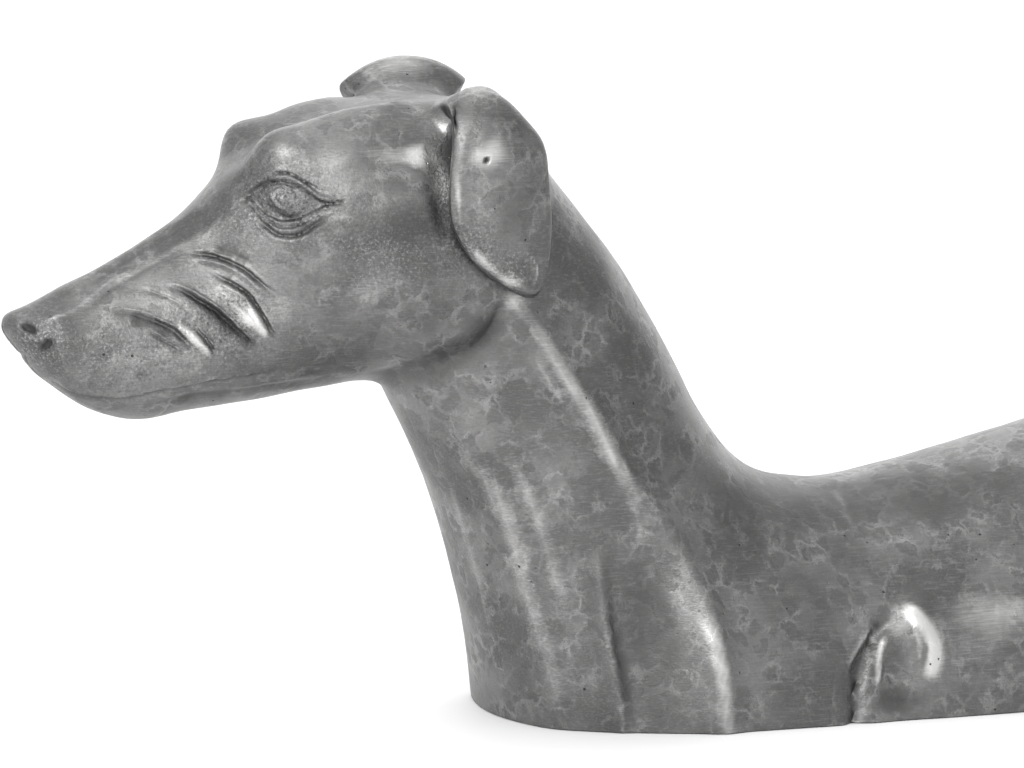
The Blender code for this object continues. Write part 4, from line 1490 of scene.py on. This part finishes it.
@dataclass
class Studio:
    """A pale floor, soft lights and a camera with a long lens, level with the dog's cheek.

    Attributes:
        azimuth: Direction of the camera, in degrees from straight beside the dog.
        elevation: Height of the camera above level, in degrees.
        distance: From the camera to the target.
        target: What the middle of the picture shows.
        lens: Focal length in millimetres, for a picture 36 mm wide.
        bright_side: Where the room is brightest, as a direction of length 1.
        sky: Brightness of the room away from that side and on it.
        far_side: The white wall behind the dog, as a direction of length 1.
        far_glow: How much brighter that wall is.
        floor_half: Half the floor's side, in metres.
        floor_level: Its height, just under the bust.
    """

    azimuth: float = -22.0
    elevation: float = 8.0
    distance: float = 2.2
    target: tuple[float, float, float] = (-0.135, 0.0, 0.139)
    lens: float = 184.0
    bright_side: tuple[float, float, float] = (-0.55, -0.62, 0.56)
    sky: tuple[float, float] = (0.3, 1.2)
    far_side: tuple[float, float, float] = (0.37, 0.92, 0.12)
    far_glow: float = 1.6
    floor_half: float = 12.0
    floor_level: float = -0.0005

    def build(self) -> None:
        """Makes the camera, the lights, the background and the floor."""
        self.make_camera()
        self.make_light("softbox from the left", (-1.1, -1.3, 1.1), 0.9, 15.0)
        self.make_light("softbox from above", (0.0, 0.1, 2.0), 1.6, 7.0)
        world = bpy.data.worlds.new("white studio")
        world.use_nodes = True
        tree = NodeTree(world.node_tree)
        way = tree.node("ShaderNodeTexCoord", output="Generated")
        dot = {"operation": "DOT_PRODUCT"}
        towards = tree.node("ShaderNodeVectorMath", dot, way, self.bright_side, output="Value")
        behind = tree.node("ShaderNodeVectorMath", dot, way, self.far_side, output="Value")
        low, high = self.sky
        level = (towards * 0.5 + 0.5) * (high - low) + low + behind.over(0.35, 0.6) * self.far_glow
        background = tree.nodes["Background"].inputs
        background["Color"].default_value = (1.0, 1.0, 1.0, 1.0)
        tree.feed(background["Strength"], level)
        bpy.context.scene.world = world
        bpy.context.scene.view_settings.view_transform = "Standard"
        self.make_floor()

    def make_camera(self) -> None:
        """The camera, turned to the target."""
        data = bpy.data.cameras.new("camera")
        data.lens = self.lens
        data.sensor_width = 36.0
        data.clip_end = 50.0
        camera = put_in_scene("camera", data)
        turn, tilt = math.radians(self.azimuth), math.radians(self.elevation)
        back = Vector((math.sin(turn) * math.cos(tilt), -math.cos(turn) * math.cos(tilt), math.sin(tilt)))
        camera.location = Vector(self.target) + back * self.distance
        camera.rotation_euler = back.to_track_quat("Z", "Y").to_euler()
        bpy.context.scene.camera = camera

    def make_light(self, name: str, place: tuple[float, float, float], size: float, power: float) -> None:
        """A square soft light that faces the bust.

        Args:
            name: The light's name.
            place: Where it stands, in metres.
            size: Its side, in metres.
            power: Its power, in watts.
        """
        data = bpy.data.lights.new(name, "AREA")
        data.size = size
        data.energy = power
        light = put_in_scene(name, data)
        light.location = place
        light.rotation_euler = (Vector(place) - Vector(self.target)).to_track_quat("Z", "Y").to_euler()

    def make_floor(self) -> None:
        """A large pale floor just under the bust."""
        mesh = bpy.data.meshes.new("floor")
        signs = ((-1, -1), (1, -1), (1, 1), (-1, 1))
        corners = [(x * self.floor_half, y * self.floor_half, self.floor_level) for x, y in signs]
        mesh.from_pydata(corners, [], [(0, 1, 2, 3)])
        shader = Shader("pale floor")
        shader.surface.inputs["Base Color"].default_value = (0.93, 0.93, 0.93, 1.0)
        shader.surface.inputs["Roughness"].default_value = 0.7
        mesh.materials.append(shader.material)
        floor = put_in_scene("floor", mesh)


def main() -> None:
    """Builds the bust and the studio."""
    logging.basicConfig(level=logging.INFO, format="%(name)s: %(message)s")
    piece = Bust().build()
    piece.data.materials.clear()
    piece.data.materials.append(WorkedAluminium().material())
    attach(piece, BODY)
    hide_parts(NODE)
    triangles = sum(len(face.vertices) - 2 for face in piece.data.polygons)
    log.info("%s: %d vertices, %d triangles", piece.name, len(piece.data.vertices), triangles)
    Studio().build()
    log.info("studio: camera, lights and floor")


if __name__ == "__main__":
    main()
